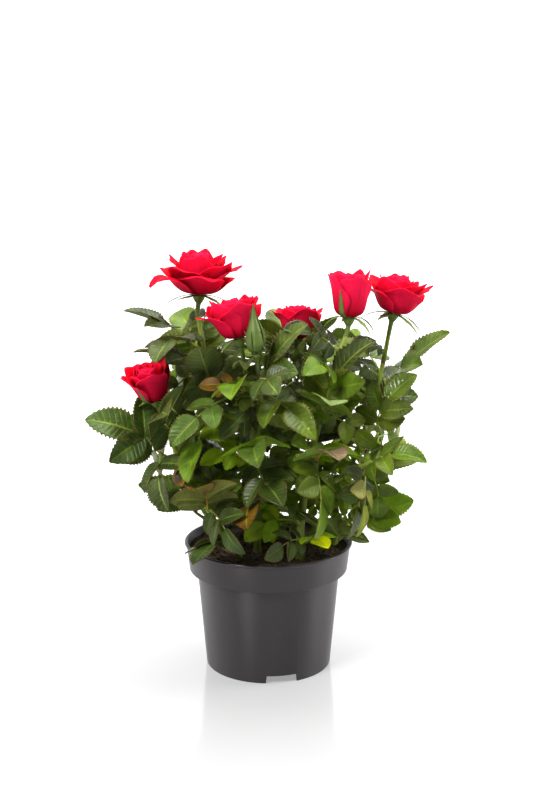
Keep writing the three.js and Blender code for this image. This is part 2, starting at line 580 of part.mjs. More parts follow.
/** Side leaf i of a shoot, turned on until it finds room in the crown. */
function growSideLeaf(shoot, i, crowd) {
  const { plan, order, curve } = shoot;
  const share = 1 - i / plan.leaves;
  const tangent = curve.getTangent(share);
  const level = new THREE.Vector3().crossVectors(UP, tangent).normalize();
  const over = new THREE.Vector3().crossVectors(tangent, level);
  for (let attempt = 0; attempt < LEAF.tries; attempt++) {
    const dice = new Dice(order * 97 + i * 13 + attempt);
    const around = radians(plan.spin + (i - 1) * GOLDEN_ANGLE + attempt * LEAF.turnPerTry);
    const lean = radians(LEAF.lean + dice.spread(12));
    const out = level.clone().multiplyScalar(Math.cos(around)).addScaledVector(over, Math.sin(around));
    const ahead = tangent.clone().multiplyScalar(Math.cos(lean)).addScaledVector(out, Math.sin(lean));
    const size = plan.leaflet * (0.84 + 0.16 * dice.roll()) * (1 - attempt * 0.014);
    const long = size * LEAF.reach * (0.75 + 0.3 * dice.roll());
    const base = curve.getPoint(share);
    const leaf = makeLeaf(base, ahead, layOn(base, ahead, dice), size, long, dice);
    const beads = leafBeads(leaf);
    if (insideCrown(beads) && keepLeaf(shoot, leaf, beads, crowd)) return;
  }
}

const shootSolid = (shoot) => fuse([solidOf(bar(shoot.curve, shoot.radiusAt, 4, 3)), ...shoot.leaves.map(leafSolid)]);

// ---------------------------------------------------------------- blooms
const PETALS = 26; // of a whole bloom
const OUTER_PETALS = 8; // that stand out of the solid heart
const BLOOM_SIDES = 16;
const STALK_RADIUS = 1.5;
const HIP = { radius: 4.2, height: 7 };

/** Petal i of a bloom, from 0 at its heart to 1 outside, as the shape that petalPoint reads. */
function makePetal(plan, i) {
  const rank = i / (PETALS - 1);
  const dice = new Dice(PETALS * 31 + i * 7 + Math.round(plan.open * 100));
  const spreadOut = plan.open * rank;
  return {
    turn: radians(i * GOLDEN_ANGLE + dice.spread(9)),
    start: mix(0.6, 2.6, rank),
    length: plan.size * mix(1, 1.16, rank) * (1 + dice.spread(0.05)),
    width: plan.size * mix(0.5, 1.25, Math.pow(rank, 0.7)),
    bend: mix(0.2, mix(0.34, 0.52, plan.open), rank), // share of its length in which it turns upright
    body: mix(98, mix(86, 46, plan.open), Math.pow(rank, 2)) + dice.spread(3), // degrees from level
    lip: mix(92, mix(84, -38, plan.open), Math.pow(rank, 2.4)) + dice.spread(12),
    flat: mix(1, 1.25, spreadOut),
    ruffle: plan.size * 0.035 * (0.4 + plan.open) * mix(0.3, 1, rank),
    phase: dice.roll() * 6.28,
    curlBack: plan.size * 0.1 * rank * (0.4 + plan.open),
  };
}

/** A point of a petal in its bloom's own frame: u from -1 to 1 across it, and v from 0 to 1 along it. */
function petalPoint(petal, u, v) {
  const reach = v * (1 - 0.3 * Math.pow(Math.abs(u), 2.4));
  let radius = petal.start;
  let height = 0;
  const steps = 12;
  for (let i = 0; i < steps; i++) {
    const at = (reach * (i + 0.5)) / steps;
    const angle = radians(
      mix(mix(0, petal.body, smooth(0, petal.bend, at)), petal.lip, smooth(0.55, 0.95, at)),
    );
    radius += (petal.length * reach * Math.cos(angle)) / steps;
    height += (petal.length * reach * Math.sin(angle)) / steps;
  }
  const half = 0.5 * petal.width * mix(0.24, 1, Math.pow(Math.sin(Math.min(1, reach * 1.35) * Math.PI * 0.5), 0.9));
  const curve = Math.max(radius, 2.2) * petal.flat;
  const angle = (u * half) / curve;
  const edge = Math.pow(Math.abs(u), 3) * reach * reach;
  const out = radius - curve + curve * Math.cos(angle) + u * half * 0.07 + petal.curlBack * edge;
  const across = curve * Math.sin(angle);
  const wave = petal.ruffle * Math.sin(u * 5 + petal.phase) * Math.pow(reach, 3);
  const [c, s] = [Math.cos(petal.turn), Math.sin(petal.turn)];
  return new THREE.Vector3(out * c - across * s, out * s + across * c, height + wave - petal.curlBack * 0.4 * edge);
}

/** The stalk that goes on from a limb's tip, up to a calyx. */
function makeStalk(limb, calyx, axis) {
  const heading = limb.curve.getTangent(1);
  const foot = limb.curve.getPoint(1).addScaledVector(heading, GAP);
  const reach = foot.distanceTo(calyx) * 0.36;
  const above = foot.clone().addScaledVector(heading, reach);
  return new THREE.CubicBezierCurve3(foot, above, calyx.clone().addScaledVector(axis, -reach), calyx);
}

const SEPALS = { count: 5, length: 21, width: 4.6 };

/** A sepal's point in its bloom's frame. hang is how many degrees it bends away from the axis. */
function sepalPoint(turn, hang, u, v) {
  const bend = radians(hang);
  const start = HIP.radius * 0.7;
  const out = start + (SEPALS.length * (1 - Math.cos(bend * v))) / bend;
  const height = (SEPALS.length * Math.sin(bend * v)) / bend;
  const across = u * 0.5 * SEPALS.width * (1 - v) * (0.75 + 1.2 * v);
  return new THREE.Vector3(
    out * Math.cos(turn) - across * Math.sin(turn),
    out * Math.sin(turn) + across * Math.cos(turn),
    height - 1,
  );
}

/** The stalk, the hip and the sepals under a bloom or a bud. */
function calyxSolids(stalk, place, hang, scale) {
  const hip = turned(
    [
      [0, -HIP.height * scale],
      [STALK_RADIUS, -HIP.height * scale],
      [HIP.radius * scale, -HIP.height * 0.35 * scale],
      [HIP.radius * 0.8 * scale, 0.6],
      [0, 1.4],
    ],
    6,
  );
  const sepals = Array.from({ length: SEPALS.count }, (_, i) => {
    const turn = (i * 2 * Math.PI) / SEPALS.count + 0.4;
    const outward = (u, v) => {
      const bend = radians(hang) * v;
      return new THREE.Vector3(Math.cos(bend) * Math.cos(turn), Math.cos(bend) * Math.sin(turn), -Math.sin(bend));
    };
    const shape = blade((u, v) => sepalPoint(turn, hang, u, v), 2, 2, 0.9, outward);
    return solidOf(shape.applyMatrix4(place));
  });
  const steps = Math.max(2, Math.round(stalk.getLength() / 14));
  return [
    solidOf(bar(stalk, () => STALK_RADIUS, 5, steps)),
    solidOf(hip.applyMatrix4(place)),
    ...sepals,
  ];
}

/** The petal that shows outside at an angle round a bloom, and how far along it the bloom's rim lies there. */
function outermost(petals, angle) {
  let best = { petal: petals[0], edge: 0.55 };
  for (const petal of petals) {
    const tip = petalPoint({ ...petal, turn: 0 }, 1, 0.7);
    const half = Math.max(Math.abs(Math.atan2(tip.y, tip.x)), 0.35);
    const apart = Math.atan2(Math.sin(angle - petal.turn), Math.cos(angle - petal.turn));
    const u = Math.abs(apart) / half;
    const edge = u < 1 ? 1 - 0.3 * Math.pow(u, 2.4) : 0;
    if (edge > best.edge) best = { petal, edge };
  }
  return best;
}

/** A bloom's petals as one closed shell: out along the outer petals, over their tips, and up to the heart. */
function petalShell(plan) {
  const outer = Array.from({ length: OUTER_PETALS }, (_, k) => makePetal(plan, PETALS - 1 - k));
  const whole = Array.from({ length: PETALS }, (_, i) => makePetal(plan, i));
  const top = Math.max(...whole.map((petal) => petalPoint(petal, 0, 0.97).z)) - 1;
  const onPetal = (petal, v) => petalPoint({ ...petal, turn: 0, ruffle: 0 }, 0, v);
  // a point over the petals: its share of their spread, and how far it rises from their crest to the heart's top
  const within = ({ petal, edge }, share, rise) => {
    const crest = Math.max(...[0.6, 0.75, 0.9, 1].map((v) => onPetal(petal, edge * v).z));
    return new THREE.Vector3(onPetal(petal, edge).x * share, 0, mix(crest + 0.8, Math.max(top, crest + 2), rise));
  };
  const rows = [
    () => new THREE.Vector3(0, 0, -0.5),
    ({ petal, edge }) => onPetal(petal, edge * 0.14),
    ({ petal, edge }) => onPetal(petal, edge * 0.3),
    ({ petal, edge }) => onPetal(petal, edge * 0.64),
    ({ petal, edge }) => onPetal(petal, edge),
    (found) => within(found, 0.8, 0.15),
    (found) => within(found, 0.42, 0.8),
    (found) => within(found, 0.2, 1),
    () => new THREE.Vector3(0, 0, top - 1.5),
  ];
  const grid = turned(rows.map((_, i) => [i % (rows.length - 1) ? 1 : 0, i]), BLOOM_SIDES);
  return reshape(grid, (x, y, z) => {
    const angle = Math.atan2(y, x);
    const p = rows[Math.round(z)](outermost(outer, angle));
    return new THREE.Vector3(p.x * x, p.x * y, p.z);
  });
}

function bloomSolid(bloom) {
  const { plan, place } = bloom;
  const calyx = calyxSolids(bloom.stalk, place, mix(60, 150, plan.open), 1);
  return fuse([...calyx, solidOf(petalShell(plan).applyMatrix4(place))], 0.02);
}

function budSolid(bud) {
  const { plan, place } = bud;
  const { length, width } = plan;
  const body = turned(
    [
      [0, -1],
      [width * 0.3, 0],
      [width * 0.5, length * 0.22],
      [width * 0.42, length * 0.45],
      [width * 0.16, length * 0.72],
      [0, length],
    ],
    6,
  );
  return fuse([...calyxSolids(bud.stalk, place, 8, 0.8), solidOf(body.applyMatrix4(place))]);
}

function makeHead(plan, limbs) {
  const axis = vector(plan.axis).normalize();
  const calyx = vector(plan.calyx);
  const place = standing(calyx, axis);
  const foot = calyx.clone().addScaledVector(axis, -HIP.height * 0.6);
  return { plan, place, stalk: makeStalk(limbs.get(plan.limb), foot, axis) };
}

/** Beads over a bloom's outer petals. */
function bloomBeads(bloom) {
  const beads = limbBeads(bloom.stalk, () => STALK_RADIUS);
  for (let k = 0; k < OUTER_PETALS; k++) {
    const petal = makePetal(bloom.plan, PETALS - 1 - k);
    for (let u = -1; u <= 1; u += 0.2)
      for (let v = 0.1; v <= 1; v += 0.1)
        beads.push({ at: petalPoint(petal, u, v).applyMatrix4(bloom.place), radius: 1.8 });
  }
  return beads;
}

/** Beads in a bud. */
function budBeads(bud) {
  const beads = limbBeads(bud.stalk, () => STALK_RADIUS);
  for (let v = 0; v <= 1; v += 0.1)
    beads.push({
      at: new THREE.Vector3(0, 0, bud.plan.length * v).applyMatrix4(bud.place),
      radius: bud.plan.width * 0.5 * (1.1 - v) + 1,
    });
  return beads;
}

// ---------------------------------------------------------------- the plant
const finish = (colour, roughness) => new THREE.MeshStandardMaterial({ color: colour, roughness, metalness: 0 });
const FINISHES = {
  pot: finish(0x4a4849, 0.45),
  soil: finish(0x2b1d14, 0.95),
  cane: finish(0x5d7c2e, 0.6),
  petal: finish(0xc8102e, 0.55),
  bud: finish(0x6f8a45, 0.6),
  leaf: finish(0x2f5a25, 0.5),
};

const rose = new THREE.Group();
rose.add(meshOf("pot", potSolid(), FINISHES.pot));
rose.add(meshOf("compost", soilSolid(), FINISHES.soil));

const crowd = new Crowd();
const limbs = new Map();
for (const plan of LIMBS) {
  const limb = growLimb(plan, limbs);
  limbs.set(plan.name, limb);
  crowd.add(limbBeads(limb.curve, limb.radiusAt), plan.name);
  rose.add(meshOf(plan.name, limbSolid(limb), FINISHES.cane));
}
for (const plan of BLOOMS) {
  const bloom = makeHead(plan, limbs);
  crowd.add(bloomBeads(bloom), plan.name);
  rose.add(meshOf(plan.name, bloomSolid(bloom), FINISHES.petal));
}
for (const plan of BUDS) {
  const bud = makeHead(plan, limbs);
  crowd.add(budBeads(bud), plan.name);
  rose.add(meshOf(plan.name, budSolid(bud), FINISHES.bud));
}
const shoots = SHOOTS.map((plan, order) => startShoot(plan, order, limbs, crowd));
for (let i = 1; i < MOST_LEAVES; i++)
  for (const shoot of shoots) if (i < shoot.plan.leaves) growSideLeaf(shoot, i, crowd);
for (const shoot of shoots) rose.add(meshOf(shoot.plan.name, shootSolid(shoot), FINISHES.leaf));

export default rose;
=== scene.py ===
"""Potted rose bush: a red miniature rose in a round nursery pot, dressed over its CAD frame.

Sizes are worked out in millimetres, +Z up and -Y to the front, and turned into metres as a piece is made.
Canes, shoots, leaves and blooms grow by the same seeded rule as the solids that they stand for.
"""
import math

import bmesh
import bpy
import numpy as np
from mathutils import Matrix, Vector


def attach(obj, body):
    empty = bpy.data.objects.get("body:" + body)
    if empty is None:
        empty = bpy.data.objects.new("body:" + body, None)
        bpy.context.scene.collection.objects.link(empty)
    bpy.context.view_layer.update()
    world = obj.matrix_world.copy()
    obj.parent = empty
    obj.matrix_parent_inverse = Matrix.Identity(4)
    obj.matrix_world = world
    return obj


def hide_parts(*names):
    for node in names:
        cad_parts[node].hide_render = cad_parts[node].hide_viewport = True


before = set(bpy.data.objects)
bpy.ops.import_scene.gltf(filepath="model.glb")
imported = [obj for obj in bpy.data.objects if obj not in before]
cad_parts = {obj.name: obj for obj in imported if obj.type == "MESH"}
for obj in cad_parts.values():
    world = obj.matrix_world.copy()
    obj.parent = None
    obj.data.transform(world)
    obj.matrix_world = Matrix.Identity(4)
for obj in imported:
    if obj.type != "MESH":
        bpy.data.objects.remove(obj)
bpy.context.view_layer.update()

bl_info = {
    "name": "Potted rose bush",
    "version": (1, 0, 0),
    "blender": (4, 5, 0),
    "location": "3D View > Sidebar > Rose bush",
    "description": "Builds a potted miniature rose: pot, compost, canes, foliage, blooms and stage",
    "category": "Add Mesh",
}

MM = 0.001
GAP = 0.3  # left between a limb and the side shoot that it bears
UP = np.array([0.0, 0.0, 1.0])
GOLDEN_ANGLE = 137.5  # degrees from one leaf or petal to the next
WAVE_TURN = 6.28  # a full turn, of which each wave takes some as its phase
PLAIN_GREY = (0.5, 0.5, 0.5)
RIM_RADIUS = 60.0
POT_HEIGHT = 91.0
SOIL_TOP = 86.0

# ---------------------------------------------------------------- plan of the plant
# name, foot or (limb, share along it), knee, tip, girth at foot and tip
LIMBS = (
    ("cane_left_tall", (-10, 6), (-34, 4, 160), (-49, -1, 254), (2.6, 1.5)),
    ("cane_middle", (-8, -14), (-6, -26, 150), (-17, -27, 227), (2.5, 1.5)),
    ("cane_back_middle", (4, 16), (4, 26, 160), (20, 17, 223), (2.2, 1.4)),
    ("cane_front", (22, -28), (20, -30, 150), (53, -10, 240), (2.9, 1.6)),
    ("cane_right_tall", (20, 2), (66, 2, 130), (85, 15, 238), (2.4, 1.5)),
    ("cane_left", (-22, -4), (-54, -8, 116), (-72, -13, 182), (2.3, 1.5)),
    ("cane_left_front", (-18, -24), (-36, -36, 112), (-46, -44, 136), (1.9, 1.4)),
    ("cane_right_low", (34, -10), (56, -14, 100), (70, -18, 116), (1.9, 1.4)),
    ("cane_back_left", (-14, 24), (-30, 44, 130), (-34, 52, 196), (2.1, 1.4)),
    ("cane_back_right", (16, 26), (34, 46, 128), (42, 54, 194), (2.1, 1.4)),
    ("bough_bud", ("cane_middle", 0.6), (-2, -38, 186), (-7, -42, 220), (1.5, 1.2)),
    ("bough_right", ("cane_front", 0.34), (58, -30, 148), (94, -24, 170), (1.9, 1.5)),
)
# name, limb, calyx, axis, how far it is open, size
BLOOMS = (
    ("bloom_top_left", "cane_left_tall", (-48, 0, 268), (0.04, 0.04, 1), 1, 30),
    ("bloom_upper_left", "cane_middle", (-20, -28, 242), (-0.2, 0.1, 1), 0.5, 27),
    ("bloom_centre", "cane_back_middle", (21, 20, 234), (0.05, 0.14, 1), 0.45, 23),
    ("bloom_upper_right", "cane_front", (55, -10, 254), (0.03, 0, 1), 0.14, 29),
    ("bloom_right", "cane_right_tall", (88, 15, 253), (0.22, 0, 1), 0.66, 27),
    ("bloom_left", "cane_left", (-78, -15, 197), (-0.26, -0.2, 1), 0.3, 25),
)
# name, limb, calyx, axis, length, width
BUDS = (
    ("bud_tall", "bough_bud", (-8, -42, 234), (-0.08, 0, 1), 33, 13),
)
# name, limb, share along it, place that its end leaf reaches, longest leaflet, leaves, turn of the first side
# leaf, turn to the front, the try at which each leaf found room, tints of its end leaf and of the others
SHOOTS = (
    ("leaves_top_left", "cane_left_tall", 0.86, (-101, 8, 255), 30, 3, 280, 0, (0, 2, -1),
     ("dark", "dark")),
    ("leaves_left_high", "cane_left_tall", 0.78, (-92, -14, 229), 32, 3, 160, 0.5, (1, 17, 13),
     ("dark", "mid")),
    ("leaves_left_front", "cane_left_tall", 0.52, (-46, -46, 238), 40, 3, 220, 0.6, (0, 1, 16),
     ("dark", "mid")),
    ("leaves_left_rear", "cane_left_tall", 0.76, (-66, 56, 248), 34, 3, 170, 0, (0, 8, 7), ("mid", "dark")),
    ("leaves_far_left", "cane_left", 0.72, (-126, -22, 184), 37, 4, 210, 1.6, (0, 11, -1, 24),
     ("dark", "dark", "mid")),
    ("leaves_left_middle", "cane_left", 0.9, (-66, -62, 196), 34, 4, 180, 0.9, (1, -1, -1, -1),
     ("dark", "mid")),
    ("leaves_left_back", "cane_left", 0.6, (-92, 40, 186), 32, 3, 30, 0, (0, 9, 8), ("dark", "mid")),
    ("leaves_left_low", "cane_left", 0.3, (-91, -16, 136), 30, 4, 20, 0.9, (0, 1, -1, -1), ("dark", "mid")),
    ("leaves_left_side", "cane_left", 0.5, (-102, -40, 162), 28, 3, 100, 0.9, (-1, 7, -1), ("mid", "dark")),
    ("leaves_left_bronze", "cane_left_front", 0.7, (-50, -80, 150), 32, 4, 110, 0.5, (0, 20, -1, -1),
     ("bronze/olive", "dark", "dark", "mid")),
    ("leaves_front_bronze", "cane_middle", 0.28, (-22, -76, 117), 40, 3, 30, 0.5, (14, -1, -1),
     ("bronze/dark", "dark", "mid")),
    ("leaves_over_rim", "cane_left_front", 0.32, (-50, -70, 96), 28, 3, 270, 0, (0, -1, -1),
     ("dark", "dark")),
    ("leaves_centre_left", "cane_middle", 0.84, (-22, -80, 214), 35, 4, 120, 0, (13, 17, -1, -1),
     ("mid", "dark")),
    ("leaves_centre_top", "cane_middle", 0.76, (26, -38, 254), 38, 3, 300, 0, (2, 6, -1), ("dark", "mid")),
    ("leaves_centre_front", "cane_middle", 0.55, (-6, -84, 166), 35, 4, 310, 0.5, (0, 7, -1, 18),
     ("dark/mid", "dark", "mid")),
    ("leaves_centre_high", "cane_back_middle", 0.72, (46, -6, 252), 35, 3, 300, 0.6, (5, 13, 6),
     ("mid", "dark")),
    ("leaves_centre_rear", "cane_back_middle", 0.84, (4, 66, 248), 33, 3, 100, 0, (0, 3, 10),
     ("mid", "dark")),
    ("leaves_right_large", "cane_front", 0.62, (76, -30, 244), 44, 3, 10, 0.7, (8, 23, -1),
     ("dark/mid", "mid")),
    ("leaves_right_pale", "cane_front", 0.68, (38, -74, 208), 35, 4, 300, 0, (5, 24, -1, -1),
     ("pale/mid", "mid")),
    ("leaves_front_mauve", "cane_front", 0.48, (46, -88, 172), 32, 4, 290, 0.4, (0, 7, -1, 13),
     ("mauve/mid", "mid")),
    ("leaves_front_low", "cane_front", 0.2, (6, -72, 128), 29, 4, 160, 0, (12, -1, 20, 25),
     ("dark", "mid", "fresh")),
    ("leaves_front_pair", "cane_front", 0.1, (44, -76, 116), 28, 3, 160, 0, (22, 23, -1),
     ("yellow/fresh", "dark", "mid")),
    ("leaves_far_right", "cane_right_tall", 0.74, (126, 2, 241), 36, 3, 320, 0.4, (0, 2, -1),
     ("dark", "mid")),
    ("leaves_right_round", "bough_right", 0.52, (106, -18, 218), 31, 4, 290, 0.8, (7, 16, 15, 12),
     ("mid", "mid", "dark")),
    ("leaves_right_middle", "bough_right", 0.5, (102, -56, 158), 29, 4, 270, 0.8, (9, 14, 21, 8),
     ("mid", "olive", "mid", "dark")),
    ("leaves_right_side", "cane_right_tall", 0.36, (104, -6, 150), 30, 4, 300, 0.7, (0, 20, -1, 19),
     ("mid", "mid", "mid")),
    ("leaves_right_rear", "cane_right_tall", 0.66, (100, 52, 204), 33, 3, 150, 0, (0, 3, 17),
     ("dark", "mid")),
    ("leaves_right_low", "cane_right_low", 0.55, (102, -14, 124), 29, 4, 280, 0.9, (2, 10, -1, -1),
     ("mid", "mid")),
    ("leaves_right_mid", "cane_right_tall", 0.3, (94, -34, 138), 24, 3, 270, 0.9, (-1, 5, 9),
     ("fresh", "mid", "fresh")),
    ("leaves_front_yellow", "cane_front", 0.06, (28, -58, 104), 22, 1, 0, 1.2, (-1,), ("fresh", "mid")),
    ("leaves_right_rim", "cane_right_low", 0.25, (58, -48, 98), 29, 4, 120, 0, (1, -1, -1, -1),
     ("mid", "fresh", "mid")),
    ("leaves_back_left_high", "cane_back_left", 0.84, (-58, 94, 220), 38, 4, 80, 0, (0, 24, 25, -1),
     ("mid", "dark")),
    ("leaves_back_left_low", "cane_back_left", 0.5, (-74, 76, 142), 33, 3, 30, 0, (0, 7, -1),
     ("dark", "mid")),
    ("leaves_back_middle", "cane_back_left", 0.76, (-10, 100, 178), 33, 3, 330, 0, (0, 13, 17),
     ("mid", "dark")),
    ("leaves_back_right_high", "cane_back_right", 0.84, (68, 100, 228), 30, 3, 300, 0, (0, 2, 13),
     ("mid", "dark")),
    ("leaves_back_right_low", "cane_back_right", 0.5, (78, 74, 146), 33, 4, 260, 0, (0, 11, 19, 17),
     ("mid", "dark")),
    ("leaves_back_low", "cane_back_right", 0.3, (16, 92, 126), 30, 3, 170, 0, (0, 5, 9), ("dark", "mid")),
)
# a small leaf's limb or shoot, share along it, turn round it, longest leaflet
SPURS = (
    ("cane_right_tall", 0.229, 90, 17), ("cane_right_tall", 0.854, 90, 13),
    ("leaves_front_mauve", 0.167, 60, 12), ("cane_front", 0.196, 0, 17), ("bough_right", 0.55, 30, 17),
    ("cane_front", 0.935, 90, 22), ("cane_right_tall", 0.938, 90, 13), ("cane_left_tall", 0.94, 150, 22),
    ("cane_left_tall", 0.46, 150, 13), ("cane_right_tall", 0.688, 150, 13), ("cane_right_low", 0.5, 30, 13),
    ("leaves_back_right_high", 0.125, 300, 15), ("cane_left", 0.219, 90, 17),
    ("leaves_back_middle", 0.75, 60, 15), ("cane_back_right", 0.156, 120, 13),
    ("cane_left_tall", 0.34, 150, 22), ("cane_back_left", 0.281, 60, 22), ("cane_middle", 0.975, 0, 13),
    ("cane_left_tall", 0.1, 120, 17), ("cane_back_middle", 0.625, 0, 17),
    ("cane_back_right", 0.719, 120, 13), ("leaves_back_left_low", 0.75, 270, 12),
    ("leaves_left_rear", 0.167, 210, 12), ("cane_back_right", 0.344, 300, 17),
    ("cane_front", 0.848, 120, 22), ("leaves_back_right_high", 0.625, 240, 15),
    ("cane_back_left", 0.656, 120, 22), ("leaves_top_left", 0.75, 120, 12),
    ("cane_back_left", 0.594, 120, 13), ("cane_back_right", 0.781, 60, 13),
    ("cane_left_tall", 0.82, 90, 17), ("leaves_centre_rear", 0.833, 330, 12),
    ("cane_back_middle", 0.725, 120, 17), ("cane_back_right", 0.594, 240, 22),
    ("cane_back_middle", 0.225, 210, 22), ("cane_back_right", 0.531, 120, 17),
    ("cane_left_tall", 0.58, 120, 22), ("cane_left", 0.406, 60, 17), ("cane_back_left", 0.719, 90, 22),
    ("cane_back_left", 0.781, 30, 13), ("leaves_centre_high", 0.833, 330, 12),
    ("cane_back_middle", 0.125, 0, 13), ("leaves_far_right", 0.5, 60, 12),
    ("cane_right_tall", 0.312, 330, 17), ("cane_back_middle", 0.325, 60, 17),
    ("cane_back_middle", 0.975, 120, 13), ("cane_right_tall", 0.438, 0, 13),
    ("cane_right_tall", 0.521, 30, 17), ("cane_right_tall", 0.604, 30, 13), ("cane_left", 0.344, 150, 13),
    ("cane_back_left", 0.344, 240, 22), ("cane_back_left", 0.906, 120, 13),
    ("cane_back_right", 0.469, 90, 13), ("cane_back_right", 0.906, 180, 13),
    ("leaves_left_back", 0.125, 240, 19), ("leaves_left_back", 0.875, 180, 12),
    ("leaves_centre_high", 0.167, 300, 19), ("leaves_centre_rear", 0.167, 270, 12),
    ("leaves_back_middle", 0.25, 330, 12), ("leaves_back_left_low", 0.25, 330, 12),
    ("cane_back_middle", 0.825, 120, 13), ("cane_back_middle", 0.525, 240, 13),
    ("leaves_back_left_high", 0.75, 60, 15), ("cane_back_left", 0.219, 60, 13),
    ("leaves_top_left", 0.25, 150, 12), ("leaves_right_rear", 0.25, 300, 12),
    ("cane_back_right", 0.844, 90, 22), ("cane_back_right", 0.406, 90, 13),
    ("cane_back_left", 0.531, 300, 22), ("cane_back_right", 0.219, 60, 13),
    ("leaves_back_right_low", 0.75, 30, 12), ("leaves_back_right_high", 0.875, 300, 12),
    ("leaves_left_front", 0.125, 120, 12), ("leaves_left_rear", 0.5, 210, 15),
    ("leaves_far_right", 0.833, 180, 15), ("cane_back_right", 0.656, 120, 13),
    ("cane_back_right", 0.969, 120, 13), ("leaves_centre_rear", 0.5, 30, 19), ("cane_left", 0.719, 0, 17),
    ("cane_front", 0.587, 30, 17), ("cane_middle", 0.225, 180, 13), ("cane_right_low", 0.643, 90, 13),
    ("leaves_left_high", 0.75, 60, 12), ("leaves_left_front", 0.375, 300, 12),
    ("cane_front", 0.674, 210, 13), ("cane_left_tall", 0.22, 60, 13), ("cane_middle", 0.325, 30, 22),
    ("cane_middle", 0.425, 90, 13), ("cane_middle", 0.525, 30, 13), ("cane_middle", 0.775, 240, 13),
    ("cane_front", 0.413, 60, 13), ("cane_front", 0.5, 0, 13), ("cane_right_tall", 0.771, 120, 13),
    ("cane_left", 0.469, 120, 13), ("cane_left", 0.656, 120, 13), ("bough_bud", 0.5, 210, 17),
    ("bough_bud", 0.786, 270, 13), ("bough_right", 0.05, 90, 13), ("leaves_left_side", 0.5, 0, 12),
    ("leaves_centre_left", 0.25, 90, 12), ("leaves_centre_top", 0.167, 30, 12),
    ("leaves_right_large", 0.25, 120, 15), ("leaves_left_side", 0.167, 30, 15),
    ("bough_bud", 0.643, 240, 13), ("cane_left", 0.781, 120, 17), ("bough_bud", 0.357, 150, 13),
    ("bough_right", 0.25, 60, 17), ("leaves_right_large", 0.75, 150, 15),
    ("leaves_centre_front", 0.25, 150, 19), ("bough_bud", 0.214, 330, 13), ("bough_right", 0.35, 180, 13),
    ("cane_back_middle", 0.425, 210, 13), ("leaves_centre_left", 0.75, 150, 15),
    ("bough_bud", 0.929, 330, 22), ("cane_left", 0.906, 120, 13), ("cane_left", 0.531, 90, 22),
    ("leaves_right_round", 0.625, 0, 12), ("leaves_left_side", 0.833, 90, 15),
    ("cane_left", 0.844, 150, 13), ("bough_right", 0.15, 60, 17),
)

CROWN_TOP = 250.0  # height at which leaves lie flattest
LEAF_DROOP = (58, 24)  # degrees by which a leaf stalk bends down, low and high on the plant
LEAF_LEAN = 62  # degrees between a leaf's stalk and the shoot that bears it
LEAF_REACH = 1.5  # stalk and rachis together, in leaflet lengths
SIDE_TURN = (58, 76)  # degrees from the rachis to the leaflets of its upper and lower pair
SIDE_SIZE = (0.84, 0.7)  # of the end leaflet's length
STAGGER = 0.03  # of the rachis, between the two leaflets of a pair
LEAFLET_WIDTH = 0.73  # of a leaflet's length
LEAFLET_FOLD = 16  # degrees that each half stands up from flat
LEAFLET_CURL = 30  # degrees by which a leaflet bends down towards its tip
TURN_PER_TRY = 47  # degrees by which a leaf that would touch something is turned
SHRINK_PER_TRY = 0.014
SPUR_FRONT = 0.7  # how far the small leaves turn to the front
SHOOT_RADIUS = 1.2
SHOOT_SHARE = 0.42  # of the way to its end leaflet that a shoot takes at least
SHOOT_LEAST = 4
SHOOT_ROOM = 0.55  # that a shoot leaves to its end leaf's stalk, in leaflets
SUNK = 1.4  # how far a shoot or a flower stalk runs into what carries it
FLARE = 0.45  # share by which a cane is thicker at its foot
FLARE_HEIGHT = 5
FOOT_SUNK = 3  # how far a cane's curve starts under the compost
PETALS = 26
STALK_RADIUS = 1.5
HIP_RADIUS = 4.2
HIP_HEIGHT = 7.0
SEPALS = 5
SEPAL_LENGTH = 21.0
SEPAL_WIDTH = 4.6


# ---------------------------------------------------------------- arithmetic
def point(*xyz):
    return np.array(xyz, float)


def unit(v):
    return v / (np.linalg.norm(v) or 1.0)


def mix(a, b, t):
    return a + (b - a) * t


def smooth(low, high, x):
    t = np.clip((x - low) / (high - low), 0.0, 1.0)
    return t * t * (3 - 2 * t)


def around(radius, angle, height):
    """Points round the Z axis."""
    return np.stack([radius * np.cos(angle), radius * np.sin(angle), height], axis=-1)


def turned(turn, out, across, up):
    """Points that lie out from the Z axis, across and up, turned round it."""
    c, s = math.cos(turn), math.sin(turn)
    return np.stack([out * c - across * s, out * s + across * c, up], axis=-1)


def swung(a, b, angle):
    """a turned towards b, which stands square to it."""
    return a * math.cos(angle) + b * math.sin(angle)


class Dice:
    """Numbers from 0 to 1 that are the same on every run."""

    def __init__(self, seed):
        self.state = (seed * 7919 + 12345) % 4294967296
        self.roll()
        self.roll()

    def roll(self):
        self.state = (self.state * 1664525 + 1013904223) % 4294967296
        return self.state / 4294967296

    def spread(self, size):
        return (self.roll() * 2 - 1) * size


class Curve:
    """A Bezier curve of three or four points."""

    def __init__(self, *points):
        self.points = [np.asarray(p, float) for p in points]

    def at(self, t):
        points = self.points
        while len(points) > 1:
            points = [a + (b - a) * t for a, b in zip(points, points[1:])]
        return points[0]

    def tangent(self, t):
        return unit(self.at(min(1.0, t + 1e-4)) - self.at(max(0.0, t - 1e-4)))

    def length(self):
        marks = [self.at(i / 200) for i in range(201)]
        return sum(np.linalg.norm(b - a) for a, b in zip(marks, marks[1:]))


def upright_turn(axis):
    """The shortest turn that brings +Z to an axis, as a matrix."""
    x, y, z = unit(axis)
    if z < -0.9999:
        return np.diag([1.0, -1.0, -1.0])
    k = 1 / (1 + z)
    return np.array([[1 - x * x * k, -x * y * k, x], [-x * y * k, 1 - y * y * k, y], [-x, -y, z]])


